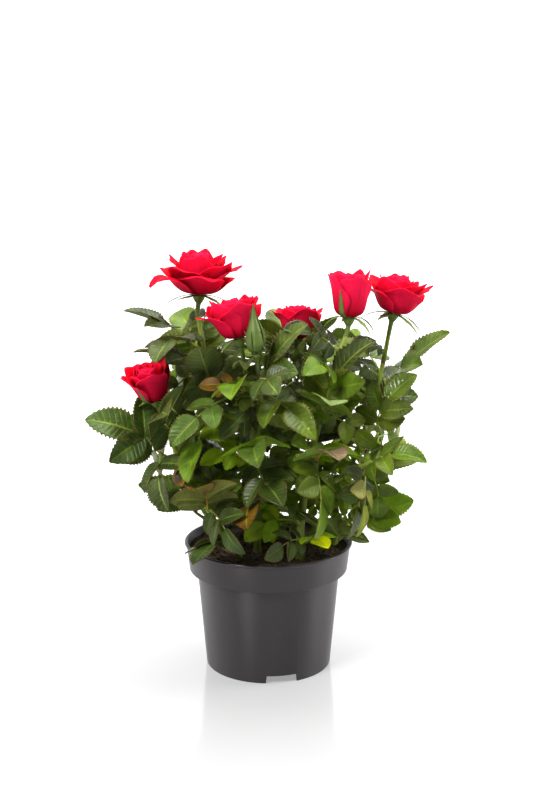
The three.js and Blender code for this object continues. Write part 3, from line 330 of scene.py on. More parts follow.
# ---------------------------------------------------------------- growth rule
class Limb:
    """A cane or a bough: its curve and how it tapers."""

    def __init__(self, curve, thick, thin, rooted):
        self.curve = curve
        self.long = curve.length()
        self.thick, self.thin, self.rooted = thick, thin, rooted

    def radius(self, share):
        flare = FLARE * math.exp(-share * self.long / FLARE_HEIGHT) if self.rooted else 0.0
        return mix(self.thick, self.thin, share) * (1 + flare)


def root_on(limb, share, heading, radius):
    """Where something that heads along heading starts, so that it stays clear of the limb's side."""
    cosine = abs(float(limb.curve.tangent(share) @ heading))
    out = (limb.radius(share) + GAP + radius * cosine) / math.sqrt(1 - cosine * cosine)
    return limb.curve.at(share) + heading * out


def grow_limbs():
    """The canes, then the boughs that leave them, by name."""
    limbs = {}
    for name, start, knee, tip, girth in LIMBS:
        knee, tip = point(*knee), point(*tip)
        rooted = not isinstance(start[0], str)
        if rooted:
            foot = point(*start, SOIL_TOP - FOOT_SUNK)
        else:
            parent = limbs[start[0]]
            heading = unit(knee - parent.curve.at(start[1]))
            foot = root_on(parent, start[1], heading, girth[0])
        limbs[name] = Limb(Curve(foot, knee, tip), *girth, rooted)
    return limbs


class Leaflet:
    """One blade of a leaf, with its frame and its size."""

    def __init__(self, base, heading, face, length, dice):
        self.base = base
        self.heading = unit(heading)
        tilted = face + point(dice.spread(0.3), dice.spread(0.3), dice.spread(0.2))
        self.side = unit(np.cross(self.heading, tilted))
        self.face = np.cross(self.side, self.heading)
        self.length = length
        self.width = length * (LEAFLET_WIDTH + dice.spread(0.07))
        self.fold = math.radians(LEAFLET_FOLD + dice.spread(9))
        self.curl = math.radians(LEAFLET_CURL + dice.spread(20))

    def at(self, u, v, wave=0.0):
        """Points of the blade: u from -1 to 1 across, v from 0 to 1 along, wave in millimetres up."""
        bend = self.curl * v
        along = self.length * (v - bend * bend * v / 6)
        down = self.length * bend * v / 2
        wide = np.power(np.maximum(0.0, np.sin(np.pi * np.power(np.clip(v, 0, 1), 0.84))), 0.65)
        across = u * 0.5 * self.width * wide
        lift = np.abs(across) * math.sin(self.fold) + wave
        return (
            self.base
            + np.multiply.outer(along, self.heading)
            + np.multiply.outer(across * math.cos(self.fold), self.side)
            + np.multiply.outer(lift - down, self.face)
        )


def lie_on(place, ahead, dice, front=0.0):
    """The way a leaf sags, and the way it faces. front turns it further to the front."""
    level = unit(point(ahead[0], ahead[1], 0))
    outward = unit(point(place[0], place[1], 0))
    sideways = outward - level * (outward @ level)
    jitter = point(dice.spread(0.3), dice.spread(0.3), 0)
    sag = level - UP
    tilt = mix(1.3, 0.6, smooth(SOIL_TOP, CROWN_TOP, place[2]))
    return sag, sideways * tilt - sag + jitter - point(0, front, 0)


class Leaf:
    """A compound leaf: a stalk that arches over, with an end leaflet and pairs of smaller ones below."""

    def __init__(self, base, heading, lie, size, long, dice):
        self.base, self.long, self.size = base, long, size
        self.sag, self.light = lie
        self.ahead = unit(heading)
        self.down = unit(self.sag - self.ahead * (self.sag @ self.ahead))
        droop = mix(*LEAF_DROOP, smooth(SOIL_TOP, CROWN_TOP, base[2]))
        self.droop = math.radians(droop + dice.spread(14))
        pairs = 2 if dice.roll() < 0.55 else 1
        self.leaflets = []
        self.add(1, 0, 0, size, dice)
        for pair in range(pairs):
            for hand in (1, -1):
                v = (2 - pair) / 3 - hand * STAGGER
                self.add(v, hand, SIDE_TURN[pair], size * SIDE_SIZE[pair], dice)

    def frame(self, v):
        """Place, tangent, side and face at a share of the stalk."""
        bend = self.droop * v
        at = (
            self.base
            + self.ahead * (self.long * math.sin(bend) / self.droop)
            + self.down * (self.long * (1 - math.cos(bend)) / self.droop)
        )
        tangent = swung(self.ahead, self.down, bend)
        side = unit(np.cross(tangent, self.light))
        return at, tangent, side, np.cross(side, tangent)

    def add(self, v, hand, turn, length, dice):
        """Adds a leaflet at a share of the stalk, straight on or turned to a hand."""
        at, tangent, side, face = self.frame(v)
        away = swung(tangent, side, hand * math.radians(turn + dice.spread(7)))
        self.leaflets.append(Leaflet(at, away, face, length, dice))


def aimed_leaf(base, aim, size, seed, front):
    """A leaf that is turned, and its stalk drawn out, until its end leaflet's tip comes to the aim."""
    heading = unit(aim - base)
    lie = lie_on(base, heading, Dice(seed), front)
    long = np.linalg.norm(aim - base) - size * 0.9
    for _ in range(10):
        leaf = Leaf(base, heading, lie, size, long, Dice(seed))
        tip = leaf.leaflets[0].at(0.0, 1.0)
        away = np.linalg.norm(aim - base)
        short = away - np.linalg.norm(tip - base)
        heading = unit(heading + (aim - tip) * (0.7 / away))
        long = float(np.clip(long + short, size * 0.4, size * 2))
    return leaf


class Shoot:
    """A side shoot with its leaves. kept holds, for each leaf, the try at which it found room."""

    def __init__(self, order, limbs, name, limb, share, aim, leaflet, leaves, spin, front, kept):
        self.name, self.order, self.front = name, order, front
        limb, aim = limbs[limb], point(*aim)
        heading = unit(aim - limb.curve.at(share))
        foot = root_on(limb, share, heading, SHOOT_RADIUS)
        away = np.linalg.norm(aim - foot) - leaflet * 0.95
        wanted = max(away * SHOOT_SHARE, away - LEAF_REACH * leaflet)
        length = max(SHOOT_LEAST, min(wanted, away - SHOOT_ROOM * leaflet))
        tip = foot + heading * length + UP * (length * 0.2)
        middle = foot + heading * (length * 0.5)
        self.curve = Curve(foot, middle, tip)
        self.wood = Curve(foot - heading * SUNK, middle, tip)
        self.leaves = []
        for i, attempt in enumerate(kept):
            if attempt < 0:
                continue
            if i:
                self.leaves.append(self.side_leaf(i, attempt, leaflet, leaves, spin))
            else:
                self.leaves.append(self.end_leaf(attempt, aim, leaflet))

    def radius(self, share):
        return SHOOT_RADIUS * (1 - 0.25 * share)

    def end_leaf(self, attempt, aim, leaflet):
        """The leaf at the shoot's tip, whose end leaflet reaches the aim, or strays from it a little."""
        dice = Dice(self.order * 31 + attempt)
        stray = point(dice.spread(1), dice.spread(1), dice.spread(1)) * (attempt * 0.7)
        size = leaflet * (1 - attempt * SHRINK_PER_TRY)
        seed = self.order * 97 + attempt
        return aimed_leaf(self.curve.points[-1], stray + aim, size, seed, self.front)

    def side_leaf(self, i, attempt, leaflet, leaves, spin):
        """Leaf i, counted from the tip, which stands at the golden angle to the one before."""
        share = 1 - i / leaves
        tangent = self.curve.tangent(share)
        level = unit(np.cross(UP, tangent))
        over = np.cross(tangent, level)
        dice = Dice(self.order * 97 + i * 13 + attempt)
        turn = math.radians(spin + (i - 1) * GOLDEN_ANGLE + attempt * TURN_PER_TRY)
        lean = math.radians(LEAF_LEAN + dice.spread(12))
        ahead = swung(tangent, swung(level, over, turn), lean)
        size = leaflet * (0.84 + 0.16 * dice.roll()) * (1 - attempt * SHRINK_PER_TRY)
        long = size * LEAF_REACH * (0.75 + 0.3 * dice.roll())
        base = self.curve.at(share)
        return Leaf(base, ahead, lie_on(base, ahead, dice, self.front), size, long, dice)


def spur_leaf(host, share, spin, size):
    """A small leaf that stands on a limb or a shoot of its own."""
    tangent = host.curve.tangent(share)
    level = unit(np.cross(UP, tangent))
    over = np.cross(tangent, level)
    side = swung(level, over, math.radians(spin))
    ahead = swung(tangent, side, math.radians(LEAF_LEAN))
    base = host.curve.at(share) + side * (host.radius(share) * 0.6)
    dice = Dice(int(share * 1000) + spin * 3 + size)
    return Leaf(base, ahead, lie_on(base, ahead, dice, SPUR_FRONT), size, size * 1.25, dice)


class Petal:
    """Petal i of a bloom, from 0 at its heart to 1 outside."""

    def __init__(self, opened, size, i):
        rank = i / (PETALS - 1)
        dice = Dice(PETALS * 31 + i * 7 + math.floor(opened * 100 + 0.5))
        self.rank, self.size = rank, size
        self.turn = math.radians(i * GOLDEN_ANGLE + dice.spread(9))
        self.start = mix(0.6, 2.6, rank)
        self.length = size * mix(1, 1.16, rank) * (1 + dice.spread(0.05))
        self.width = size * mix(0.5, 1.25, rank**0.7)
        self.bend = mix(0.2, mix(0.34, 0.52, opened), rank)
        self.body = mix(98, mix(86, 46, opened), rank**2) + dice.spread(3)
        self.lip = mix(92, mix(84, -38, opened), rank**2.4) + dice.spread(12)
        self.flat = mix(1, 1.25, opened * rank)
        self.ruffle = size * 0.035 * (0.4 + opened) * mix(0.3, 1, rank)
        self.phase = dice.roll() * WAVE_TURN
        self.curl_back = size * 0.1 * rank * (0.4 + opened)

    def at(self, u, v):
        """Points in the bloom's own frame: u from -1 to 1 across the petal, v from 0 to 1 along it."""
        reach = v * (1 - 0.3 * np.abs(u) ** 2.4)
        radius = np.full_like(reach, self.start)
        height = np.zeros_like(reach)
        steps = 12
        for i in range(steps):
            at = reach * (i + 0.5) / steps
            rise = mix(0, self.body, smooth(0, self.bend, at))
            angle = np.radians(mix(rise, self.lip, smooth(0.55, 0.95, at)))
            radius = radius + self.length * reach * np.cos(angle) / steps
            height = height + self.length * reach * np.sin(angle) / steps
        swell = np.sin(np.minimum(1, reach * 1.35) * np.pi * 0.5) ** 0.9
        half = 0.5 * self.width * mix(0.24, 1, swell)
        curve = np.maximum(radius, 2.2) * self.flat
        angle = u * half / curve
        edge = np.abs(u) ** 3 * reach * reach
        out = radius - curve + curve * np.cos(angle) + u * half * 0.07 + self.curl_back * edge
        across = curve * np.sin(angle)
        wave = self.ruffle * np.sin(u * 5 + self.phase) * reach**3
        return turned(self.turn, out, across, height + wave - self.curl_back * 0.4 * edge)


class Head:
    """Where a bloom or a bud stands, and the stalk under it."""

    def __init__(self, limbs, limb, calyx, axis):
        axis, self.calyx = unit(point(*axis)), point(*calyx)
        self.turn = upright_turn(axis)
        curve = limbs[limb].curve
        heading = curve.tangent(1)
        foot = curve.at(1) - heading * SUNK
        top = self.calyx - axis * (HIP_HEIGHT * 0.6)
        reach = np.linalg.norm(top - foot) * 0.36
        self.stalk = Curve(foot, foot + heading * reach, top - axis * reach, top)

    def place(self, points):
        """Points of the bloom's own frame, set on the calyx."""
        return self.calyx + points @ self.turn.T


def sepal_half(v):
    """Half a sepal's width at a share of its length."""
    return 0.5 * SEPAL_WIDTH * (1 - v) * (0.75 + 1.2 * v)


def sepal_at(turn, first, last, u, v, scale=1.0):
    """Points of a sepal in its bloom's frame, which bends from first to last degrees off the axis."""
    first, last = math.radians(first), math.radians(last)
    bend = last - first
    long = SEPAL_LENGTH * scale
    out = HIP_RADIUS * 0.7 + long * (math.cos(first) - np.cos(first + bend * v)) / bend
    height = long * (np.sin(first + bend * v) - math.sin(first)) / bend - 1
    lobes = 1 + 0.5 * np.maximum(0, np.sin(v * 15)) * (v > 0.35) * (v < 0.8)
    across = u * sepal_half(v) * scale * lobes
    bulge = 0.5 * (1 - u * u) * (1 - v)
    return turned(turn, out + bulge, across, height)


# ---------------------------------------------------------------- mesh tools
def new_mesh():
    """An empty mesh with the layers that the finishes read."""
    bm = bmesh.new()
    bm.loops.layers.uv.new("UVMap")
    bm.verts.layers.float_color.new("tint")
    return bm


def sheet(bm, across, along, place, tint=PLAIN_GREY):
    """A grid pushed into shape: place takes arrays of u from -1 to 1 across and v from 0 to 1 along."""
    grid = bmesh.ops.create_grid(bm, x_segments=across, y_segments=along, size=1.0, calc_uvs=True)
    verts = grid["verts"]
    flat = np.array([v.co[:2] for v in verts])
    places = place(flat[:, 0], (flat[:, 1] + 1) / 2) * MM
    layer = bm.verts.layers.float_color["tint"]
    colour = (*tint, 1.0)
    for vert, at in zip(verts, places):
        vert.co = at
        vert[layer] = colour


def tube(bm, curve, radius, sides, steps, tint=PLAIN_GREY, low=0.0, relief=None):
    """
    A round bar along a curve from the share low on, closed at both ends.

    relief gives what its radius is multiplied by at an angle and a share of the curve.
    """
    shares = [low, *np.linspace(low, 1.0, steps + 1), 1.0]
    rows = []
    side = point(0.31, 0.95, 0.05)
    for k, share in enumerate(shares):
        tangent = curve.tangent(share)
        side = unit(side - tangent * (side @ tangent))
        size = 0.0 if k in (0, len(shares) - 1) else radius(share)
        rows.append((curve.at(share), side, np.cross(tangent, side), size))
    centres, rights, overs, sizes = (np.array(part) for part in zip(*rows))

    def place(u, v):
        row = np.rint(v * (len(shares) - 1)).astype(int)
        angle = np.pi * u
        size = sizes[row]
        if relief is not None:
            size = size * relief(angle, np.array(shares)[row])
        out = rights[row] * np.cos(angle)[:, None] + overs[row] * np.sin(angle)[:, None]
        return centres[row] + out * size[:, None]

    sheet(bm, sides, len(shares) - 1, place, tint)


def finish_piece(bm, name, nodes, materials, thickness=0.0, crisp=180):
    """
    Closes a mesh's seams and poles and makes it a piece of the rose that stands for CAD nodes.

    Edges that bend by more than crisp degrees stay sharp.
    """
    bmesh.ops.remove_doubles(bm, verts=bm.verts, dist=2e-6)
    bmesh.ops.dissolve_degenerate(bm, edges=bm.edges, dist=1e-6)
    for face in bm.faces:
        face.smooth = True
    for edge in bm.edges:
        edge.smooth = edge.calc_face_angle(0.0) < math.radians(crisp)
    mesh = bpy.data.meshes.new(name)
    bm.to_mesh(mesh)
    bm.free()
    piece = bpy.data.objects.new(name, mesh)
    bpy.context.scene.collection.objects.link(piece)
    for material in materials:
        mesh.materials.append(material)
    if thickness:
        solid = piece.modifiers.new("Thickness", "SOLIDIFY")
        solid.thickness = thickness * MM
        solid.offset = 0.0
        solid.material_offset = len(materials) - 1
    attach(piece, "root")
    if nodes:
        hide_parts(*nodes)
    return piece


# ---------------------------------------------------------------- shader tools
class Value:
    """A socket that Python's arithmetic can be written on: each operator adds a Math node."""

    def __init__(self, shader, socket):
        self.shader, self.socket = shader, socket

    def __add__(self, other):
        return self.shader.math("ADD", self, other)

    def __sub__(self, other):
        return self.shader.math("SUBTRACT", self, other)

    def __mul__(self, other):
        return self.shader.math("MULTIPLY", self, other)

    def __abs__(self):
        return self.shader.math("ABSOLUTE", self)

    def __gt__(self, other):
        return self.shader.math("GREATER_THAN", self, other)


class Shader:
    """A material, or a world, whose nodes are written as Python expressions."""

    def __init__(self, name, owner=None):
        self.material = owner or bpy.data.materials.new(name)
        self.material.use_nodes = True
        self.nodes = self.material.node_tree.nodes
        self.links = self.material.node_tree.links
        self.nodes.clear()

    def node(self, kind, settings=None, inputs=None, output=0):
        """Adds a node, sets it, then gives its sockets values or links. Returns one of its outputs."""
        made = self.nodes.new(kind)
        for key, value in (settings or {}).items():
            setattr(made, key, value)
        for key, value in (inputs or {}).items():
            if isinstance(value, Value):
                self.links.new(value.socket, made.inputs[key])
            else:
                made.inputs[key].default_value = value
        return Value(self, made.outputs[output])

    def math(self, operation, *values):
        return self.node("ShaderNodeMath", {"operation": operation}, dict(enumerate(values)))

    def ramp(self, value, low, high, start=0.0, end=1.0):
        """A number eased from start to end as value goes from low to high."""
        inputs = {"Value": value, "From Min": low, "From Max": high, "To Min": start, "To Max": end}
        return self.node("ShaderNodeMapRange", {"interpolation_type": "SMOOTHSTEP"}, inputs)

    def blend(self, share, first, second, how="MIX"):
        """Two colours mixed."""
        settings = {"data_type": "RGBA", "blend_type": how}
        colours = [c if isinstance(c, Value) else (*c, 1.0) for c in (first, second)]
        return self.node("ShaderNodeMix", settings, {0: share, 6: colours[0], 7: colours[1]}, 2)

    def shaded(self, colour, value):
        """A colour made lighter or darker by a number."""
        grey = self.node("ShaderNodeCombineColor", None, {0: value, 1: value, 2: value})
        return self.blend(1.0, colour, grey, "MULTIPLY")

    def place(self, scale=(1.0, 1.0, 1.0)):
        """Object coordinates in metres, stretched."""
        spot = self.node("ShaderNodeTexCoord", None, None, "Object")
        return self.node("ShaderNodeVectorMath", {"operation": "MULTIPLY"}, {0: spot, 1: scale})

    def tint(self):
        """The colour that each point of a piece was given."""
        return self.node("ShaderNodeAttribute", {"attribute_name": "tint"}, None, "Color")

    def sheet_uv(self):
        """The place across and along a grown sheet, each from 0 to 1."""
        uv = self.node("ShaderNodeUVMap", {"uv_map": "UVMap"})
        parts = self.nodes.new("ShaderNodeSeparateXYZ")
        self.links.new(uv.socket, parts.inputs[0])
        return Value(self, parts.outputs[0]), Value(self, parts.outputs[1])

    def noise(self, vector, scale, detail=3.0, roughness=0.55):
        inputs = {"Vector": vector, "Scale": scale, "Detail": detail, "Roughness": roughness}
        return self.node("ShaderNodeTexNoise", None, inputs)

    def vector(self, x, y, z=0.0):
        return self.node("ShaderNodeCombineXYZ", None, {0: x, 1: y, 2: z})

    def bump(self, height, distance, strength=1.0):
        inputs = {"Height": height, "Distance": distance, "Strength": strength}
        return self.node("ShaderNodeBump", None, inputs)

    def end(self, kind, shader):
        """Links a shader to a new output node."""
        self.links.new(shader.socket, self.nodes.new(kind).inputs["Surface"])
        return self.material

    def surface(self, colour, roughness, normal=None, glow=None, share=0.0, fixed=None):
        """Ends the material in a principled surface, with a share of light that shines through it."""
        inputs = {"Base Color": colour, "Roughness": roughness, **(fixed or {})}
        if normal is not None:
            inputs["Normal"] = normal
        out = self.node("ShaderNodeBsdfPrincipled", None, inputs)
        if glow is not None:
            through = self.node("ShaderNodeBsdfTranslucent", None, {"Color": (*glow, 1.0)})
            out = self.node("ShaderNodeMixShader", None, {0: share, 1: out, 2: through})
        return self.end("ShaderNodeOutputMaterial", out)


# ---------------------------------------------------------------- finishes
LEAF_GLOW = (0.56, 0.76, 0.015)
LEAF_FELT = (0.27, 0.32, 0.12)
LEAF_MARGIN = (0.17, 0.045, 0.012)
LEAF_NET = (0.2, 0.28, 0.03)
VEIN_UPPER = (0.36, 0.45, 0.05)
VEIN_UNDER = (0.42, 0.48, 0.18)
VEIN_PAIRS = 9.0  # side veins on each half of a leaflet
VEIN_SLANT = 1.7
PETAL_GLOW = (0.80, 0.005, 0.035)
# painted highlight along the petals' sides and tips
PETAL_EDGE_HIGHLIGHT = (0.84, 0.03, 0.11)
# darker at the claw as painted shade deep in the bloom and under its cup, lighter at the edge
PETAL_OUTSIDE = (0.46, 0.0012, 0.024), (0.86, 0.016, 0.095)  # at its claw and its edge
PETAL_INSIDE = (0.30, 0.0005, 0.006), (0.74, 0.002, 0.026)
BARK_BROWN = (0.150, 0.095, 0.035)
BARK_SPECK = (0.22, 0.20, 0.11)
THORN_RED = (0.16, 0.055, 0.03)
STALK_FLUSH = (0.16, 0.06, 0.03)
STALK_RIB = (0.24, 0.32, 0.12)
STALK_GLOW = (0.2, 0.35, 0.06)
PEAT_BROWN = (0.085, 0.050, 0.028)
PEAT_STRAW = (0.22, 0.15, 0.08)
POT_DUST = (0.16, 0.14, 0.13)
POT_SCUFF = (0.13, 0.125, 0.125)


def leaf_finish(name, under):
    """A leaflet's upper or under side: midrib, side veins, a fine net and a reddish edge."""
    s = Shader(name)
    x, y = s.sheet_uv()
    half = abs(x * 2 - 1)
    tint = s.tint()
    stagger = (x > 0.5) * 0.4
    phase = y * VEIN_PAIRS - half * VEIN_SLANT + stagger
    ridge = s.math("PINGPONG", phase, 0.5)
    inner = s.ramp(half, 0.72, 1.0, 1.0, 0.15)
    veins = s.ramp(ridge, 0.0, 0.11, 1.0, 0.0) * inner
    midrib = s.ramp(half, 0.02, 0.09, 1.0, 0.0)
    lines = s.math("MAXIMUM", veins * 0.6, midrib)
    cells = s.node(
        "ShaderNodeTexVoronoi",
        {"voronoi_dimensions": "2D", "feature": "DISTANCE_TO_EDGE"},
        {"Vector": s.vector(x * 13, y * 19), "Scale": 1.0},
    )
    net = s.ramp(cells, 0.0, 0.09, 1.0, 0.0)
    patches = s.noise(s.place(), 70.0, 4.0)
    grain = s.noise(s.place(), 900.0, 2.0)
    margin = s.ramp(half, 0.86, 1.0)
    if under:
        colour = s.blend(0.34, tint, LEAF_FELT)
        colour = s.blend(lines * 0.5, colour, VEIN_UNDER)
        height = lines * 0.8 + net * 0.25 + grain * 0.2
        rough = s.ramp(patches, 0.3, 0.7, 0.55, 0.7)
    else:
        colour = s.blend(lines * 0.5, tint, VEIN_UPPER)
        colour = s.blend(net * 0.15, colour, LEAF_NET)
        height = ridge * 0.55 - lines * 0.45 - net * 0.16 + grain * 0.12
        rough = s.ramp(patches, 0.3, 0.7, 0.15, 0.3)
    colour = s.blend(margin * 0.55, colour, LEAF_MARGIN)
    colour = s.shaded(colour, s.ramp(patches, 0.3, 0.7, 0.62, 1.32))
    normal = s.bump(height, 0.0006, 0.9)
    light = s.node("ShaderNodeSeparateColor", None, {0: tint}, 1)
    share = s.ramp(light, 0.07, 0.42, 0.14, 0.55)
    fixed = {"Specular IOR Level": 0.15 if under else 0.36}
    return s.surface(colour, rough, normal, LEAF_GLOW, share, fixed)


def petal_finish(name, outside):
    """A petal's inner or outer side: velvet crimson with fine lines from its claw to its edge, darker towards
    the claw as painted shade deep in the bloom and under its cup, with a pinker rim that is a painted
    highlight.
    """
    s = Shader(name)
    x, y = s.sheet_uv()
    half = abs(x * 2 - 1)
    lines = s.noise(s.vector(x * 26, y * 2.2), 1.0, 3.0)
    cloud = s.noise(s.place(), 90.0, 3.0)
    # painted shade: each side darkens towards the claw
    if outside:
        colour = s.blend(s.ramp(y, 0.1, 0.95), *PETAL_OUTSIDE)
    else:
        colour = s.blend(s.ramp(y, 0.2, 1.0), *PETAL_INSIDE)
    # painted highlight: a pinker band along the petal's sides and tip
    rim = s.math("MAXIMUM", s.ramp(half, 0.9, 1.0), s.ramp(y, 0.93, 1.0))
    colour = s.blend(rim * 0.3, colour, PETAL_EDGE_HIGHLIGHT)
    colour = s.shaded(colour, s.ramp(lines, 0.3, 0.7, 0.93, 1.06))
    height = lines * 0.6 + cloud * 0.4
    normal = s.bump(height, 0.0004, 0.6)
    rough = s.ramp(cloud, 0.3, 0.7, 0.5, 0.66)
    fixed = {"Specular IOR Level": 0.07}
    return s.surface(colour, rough, normal, PETAL_GLOW, 0.2, fixed)


def cane_finish():
    """Green bark with brown and red patches and fine streaks along it."""
    s = Shader("cane_bark")
    tint = s.tint()
    patches = s.noise(s.place((1, 1, 0.35)), 60.0, 5.0, 0.6)
    streaks = s.noise(s.place((1, 1, 0.06)), 1100.0, 3.0)
    specks = s.noise(s.place(), 500.0, 2.0)
    colour = s.blend(s.ramp(patches, 0.52, 0.75, 0.0, 0.6), tint, BARK_BROWN)
    colour = s.blend(s.ramp(specks, 0.62, 0.72, 0.0, 0.4), colour, BARK_SPECK)
    colour = s.shaded(colour, s.ramp(streaks, 0.3, 0.7, 0.8, 1.15))
    normal = s.bump(streaks * 0.7 + patches * 0.6, 0.0004, 0.8)
    return s.surface(colour, s.ramp(patches, 0.3, 0.7, 0.4, 0.62), normal)


def stalk_finish(name):
    """Smooth young green of flower stalks, hips and sepals, flushed where it ages."""
    s = Shader(name)
    tint = s.tint()
    x, y = s.sheet_uv()
    ribs = s.math("PINGPONG", x * 7.0, 0.5)
    patches = s.noise(s.place(), 130.0, 4.0)
    colour = s.blend(s.ramp(patches, 0.5, 0.75, 0.0, 0.35), tint, STALK_FLUSH)
    colour = s.blend(s.ramp(ribs, 0.3, 0.5, 0.0, 0.3), colour, STALK_RIB)
    normal = s.bump(ribs * 0.6 + patches * 0.5, 0.0003, 0.7)
    rough = s.ramp(patches, 0.3, 0.7, 0.42, 0.6)
    return s.surface(colour, rough, normal, STALK_GLOW, 0.12)


def compost_finish():
    """Dark peat with lighter fibres and damp patches."""
    s = Shader("compost_peat")
    tint = s.tint()
    coarse = s.noise(s.place(), 160.0, 6.0, 0.7)
    fibres = s.noise(s.place((1, 0.3, 1)), 700.0, 4.0, 0.65)
    colour = s.blend(s.ramp(coarse, 0.42, 0.66), tint, PEAT_BROWN)
    colour = s.blend(s.ramp(fibres, 0.6, 0.72, 0.0, 0.7), colour, PEAT_STRAW)
    normal = s.bump(coarse * 0.7 + fibres * 0.6, 0.0012, 1.0)
    return s.surface(colour, s.ramp(coarse, 0.35, 0.6, 0.75, 0.97), normal)


def pot_finish(colour):
    """Moulded grey plastic: a faint flow pattern, fine peel, scuffs and dust."""
    s = Shader("pot_plastic")
    flow = s.noise(s.place((1, 1, 0.12)), 38.0, 3.0)
    peel = s.noise(s.place(), 1500.0, 2.0)
    scuffs = s.noise(s.place((1, 1, 5)), 55.0, 6.0, 0.7)
    dust = s.noise(s.place(), 240.0, 5.0, 0.7)
    base = s.shaded(colour, s.ramp(flow, 0.3, 0.7, 0.93, 1.08))
    base = s.blend(s.ramp(dust, 0.62, 0.8, 0.0, 0.28), base, POT_DUST)
    base = s.blend(s.ramp(scuffs, 0.66, 0.78, 0.0, 0.22), base, POT_SCUFF)
    rough = s.ramp(flow, 0.3, 0.7, 0.29, 0.37) + s.ramp(scuffs, 0.6, 0.75, 0.0, 0.12)
    normal = s.bump(peel * 0.5 + scuffs * 0.3, 0.00012, 0.5)
    return s.surface(base, rough, normal)


# ---------------------------------------------------------------- settings
def colour_setting(name, about, default):
    return bpy.props.FloatVectorProperty(
        name=name, description=about, subtype="COLOR", size=3, min=0.0, max=1.0, default=default
    )


def size_setting(name, about, default):
    return bpy.props.FloatProperty(name=name, description=about, default=default, unit="LENGTH", min=0.0)


def number_setting(name, about, default):
    return bpy.props.FloatProperty(name=name, description=about, default=default, min=0.0)


def count_setting(name, about, default, least=0):
    return bpy.props.IntProperty(name=name, description=about, default=default, min=least)


class PotSettings(bpy.types.PropertyGroup):
    plastic: colour_setting("Plastic", "Colour of the moulded pot", (0.0385, 0.0324, 0.0345))
    rim_radius: size_setting("Rim radius", "Radius over the rolled edge", RIM_RADIUS * MM)
    height: size_setting("Height", "From the surface below to the rolled edge", POT_HEIGHT * MM)
    sides: count_setting("Sides", "Facets round the pot", 144, 24)


class CompostSettings(bpy.types.PropertyGroup):
    peat: colour_setting("Peat", "Colour of damp peat", (0.052, 0.034, 0.019))
    crumbs: count_setting("Crumbs", "Lumps on the surface", 520)
    fibres: count_setting("Fibres", "Fibres on the surface", 240)


class CaneSettings(bpy.types.PropertyGroup):
    bark: colour_setting("Bark", "Colour of the green bark", (0.250, 0.330, 0.040))
    thorn_gap: size_setting("Thorn gap", "Distance from one thorn to the next", 0.019)
    thorn_size: size_setting("Thorn size", "How far a thorn stands out", 0.0032)


class LeafSettings(bpy.types.PropertyGroup):
    thickness: size_setting("Thickness", "Thickness of a leaflet", 0.0003)
    teeth: count_setting("Teeth", "Teeth on each edge of a leaflet", 13, 8)


class BloomSettings(bpy.types.PropertyGroup):
    thickness: size_setting("Thickness", "Thickness of a petal", 0.00025)
    green: colour_setting("Green", "Colour of stalks, hips and sepals", (0.150, 0.225, 0.036))


class StageSettings(bpy.types.PropertyGroup):
    backdrop: colour_setting("Backdrop", "Colour of the surroundings", (1.0, 1.0, 1.0))
    key_power: number_setting("Key light", "Power of the main soft light in watts", 20.5)
    dimness: number_setting("Dim side", "Brightness of the room's front", 0.1)


# ---------------------------------------------------------------- pot
# radius and height: underside and foot, outside, rolled edge, then the inside down to the floor
POT_PROFILE = (
    (0.0, 0.0), (15.0, 0.0), (20.0, 7.0), (43.6, 7.0), (43.6, 0.3), (43.9, 0.0), (44.5, 0.0), (44.8, 0.35),
    (50.9, 69.4), (51.3, 70.0), (56.0, 70.6), (56.5, 71.1), (58.7, 88.6),
    (59.1, 89.1), (59.7, 89.3), (60.0, 89.8), (60.0, 90.4), (59.6, 90.9), (58.9, 91.0), (58.1, 91.0),
    (57.6, 90.6), (55.3, 73.2), (54.9, 72.6), (50.2, 71.2), (49.8, 70.2),
    (44.6, 8.6), (44.0, 8.2), (19.4, 8.2), (14.4, 1.2), (0.0, 1.2),
)
NOTCH_WIDTH = 21.0
NOTCH_HEIGHT = 5.5
NOTCH_SLOPE = 0.6
NOTCH_TURNS = (-78, 42, 162)
FOOT_ZONE = 11.5  # height below which a notch cuts the wall
FOOT_INSIDE = 43.0  # radius beyond which the foot ring lies
AHEAD = 30.0  # how far out of the axis a notch starts
LIFT_OUT = 1.0103  # brings the lifted foot out to the line of the wall


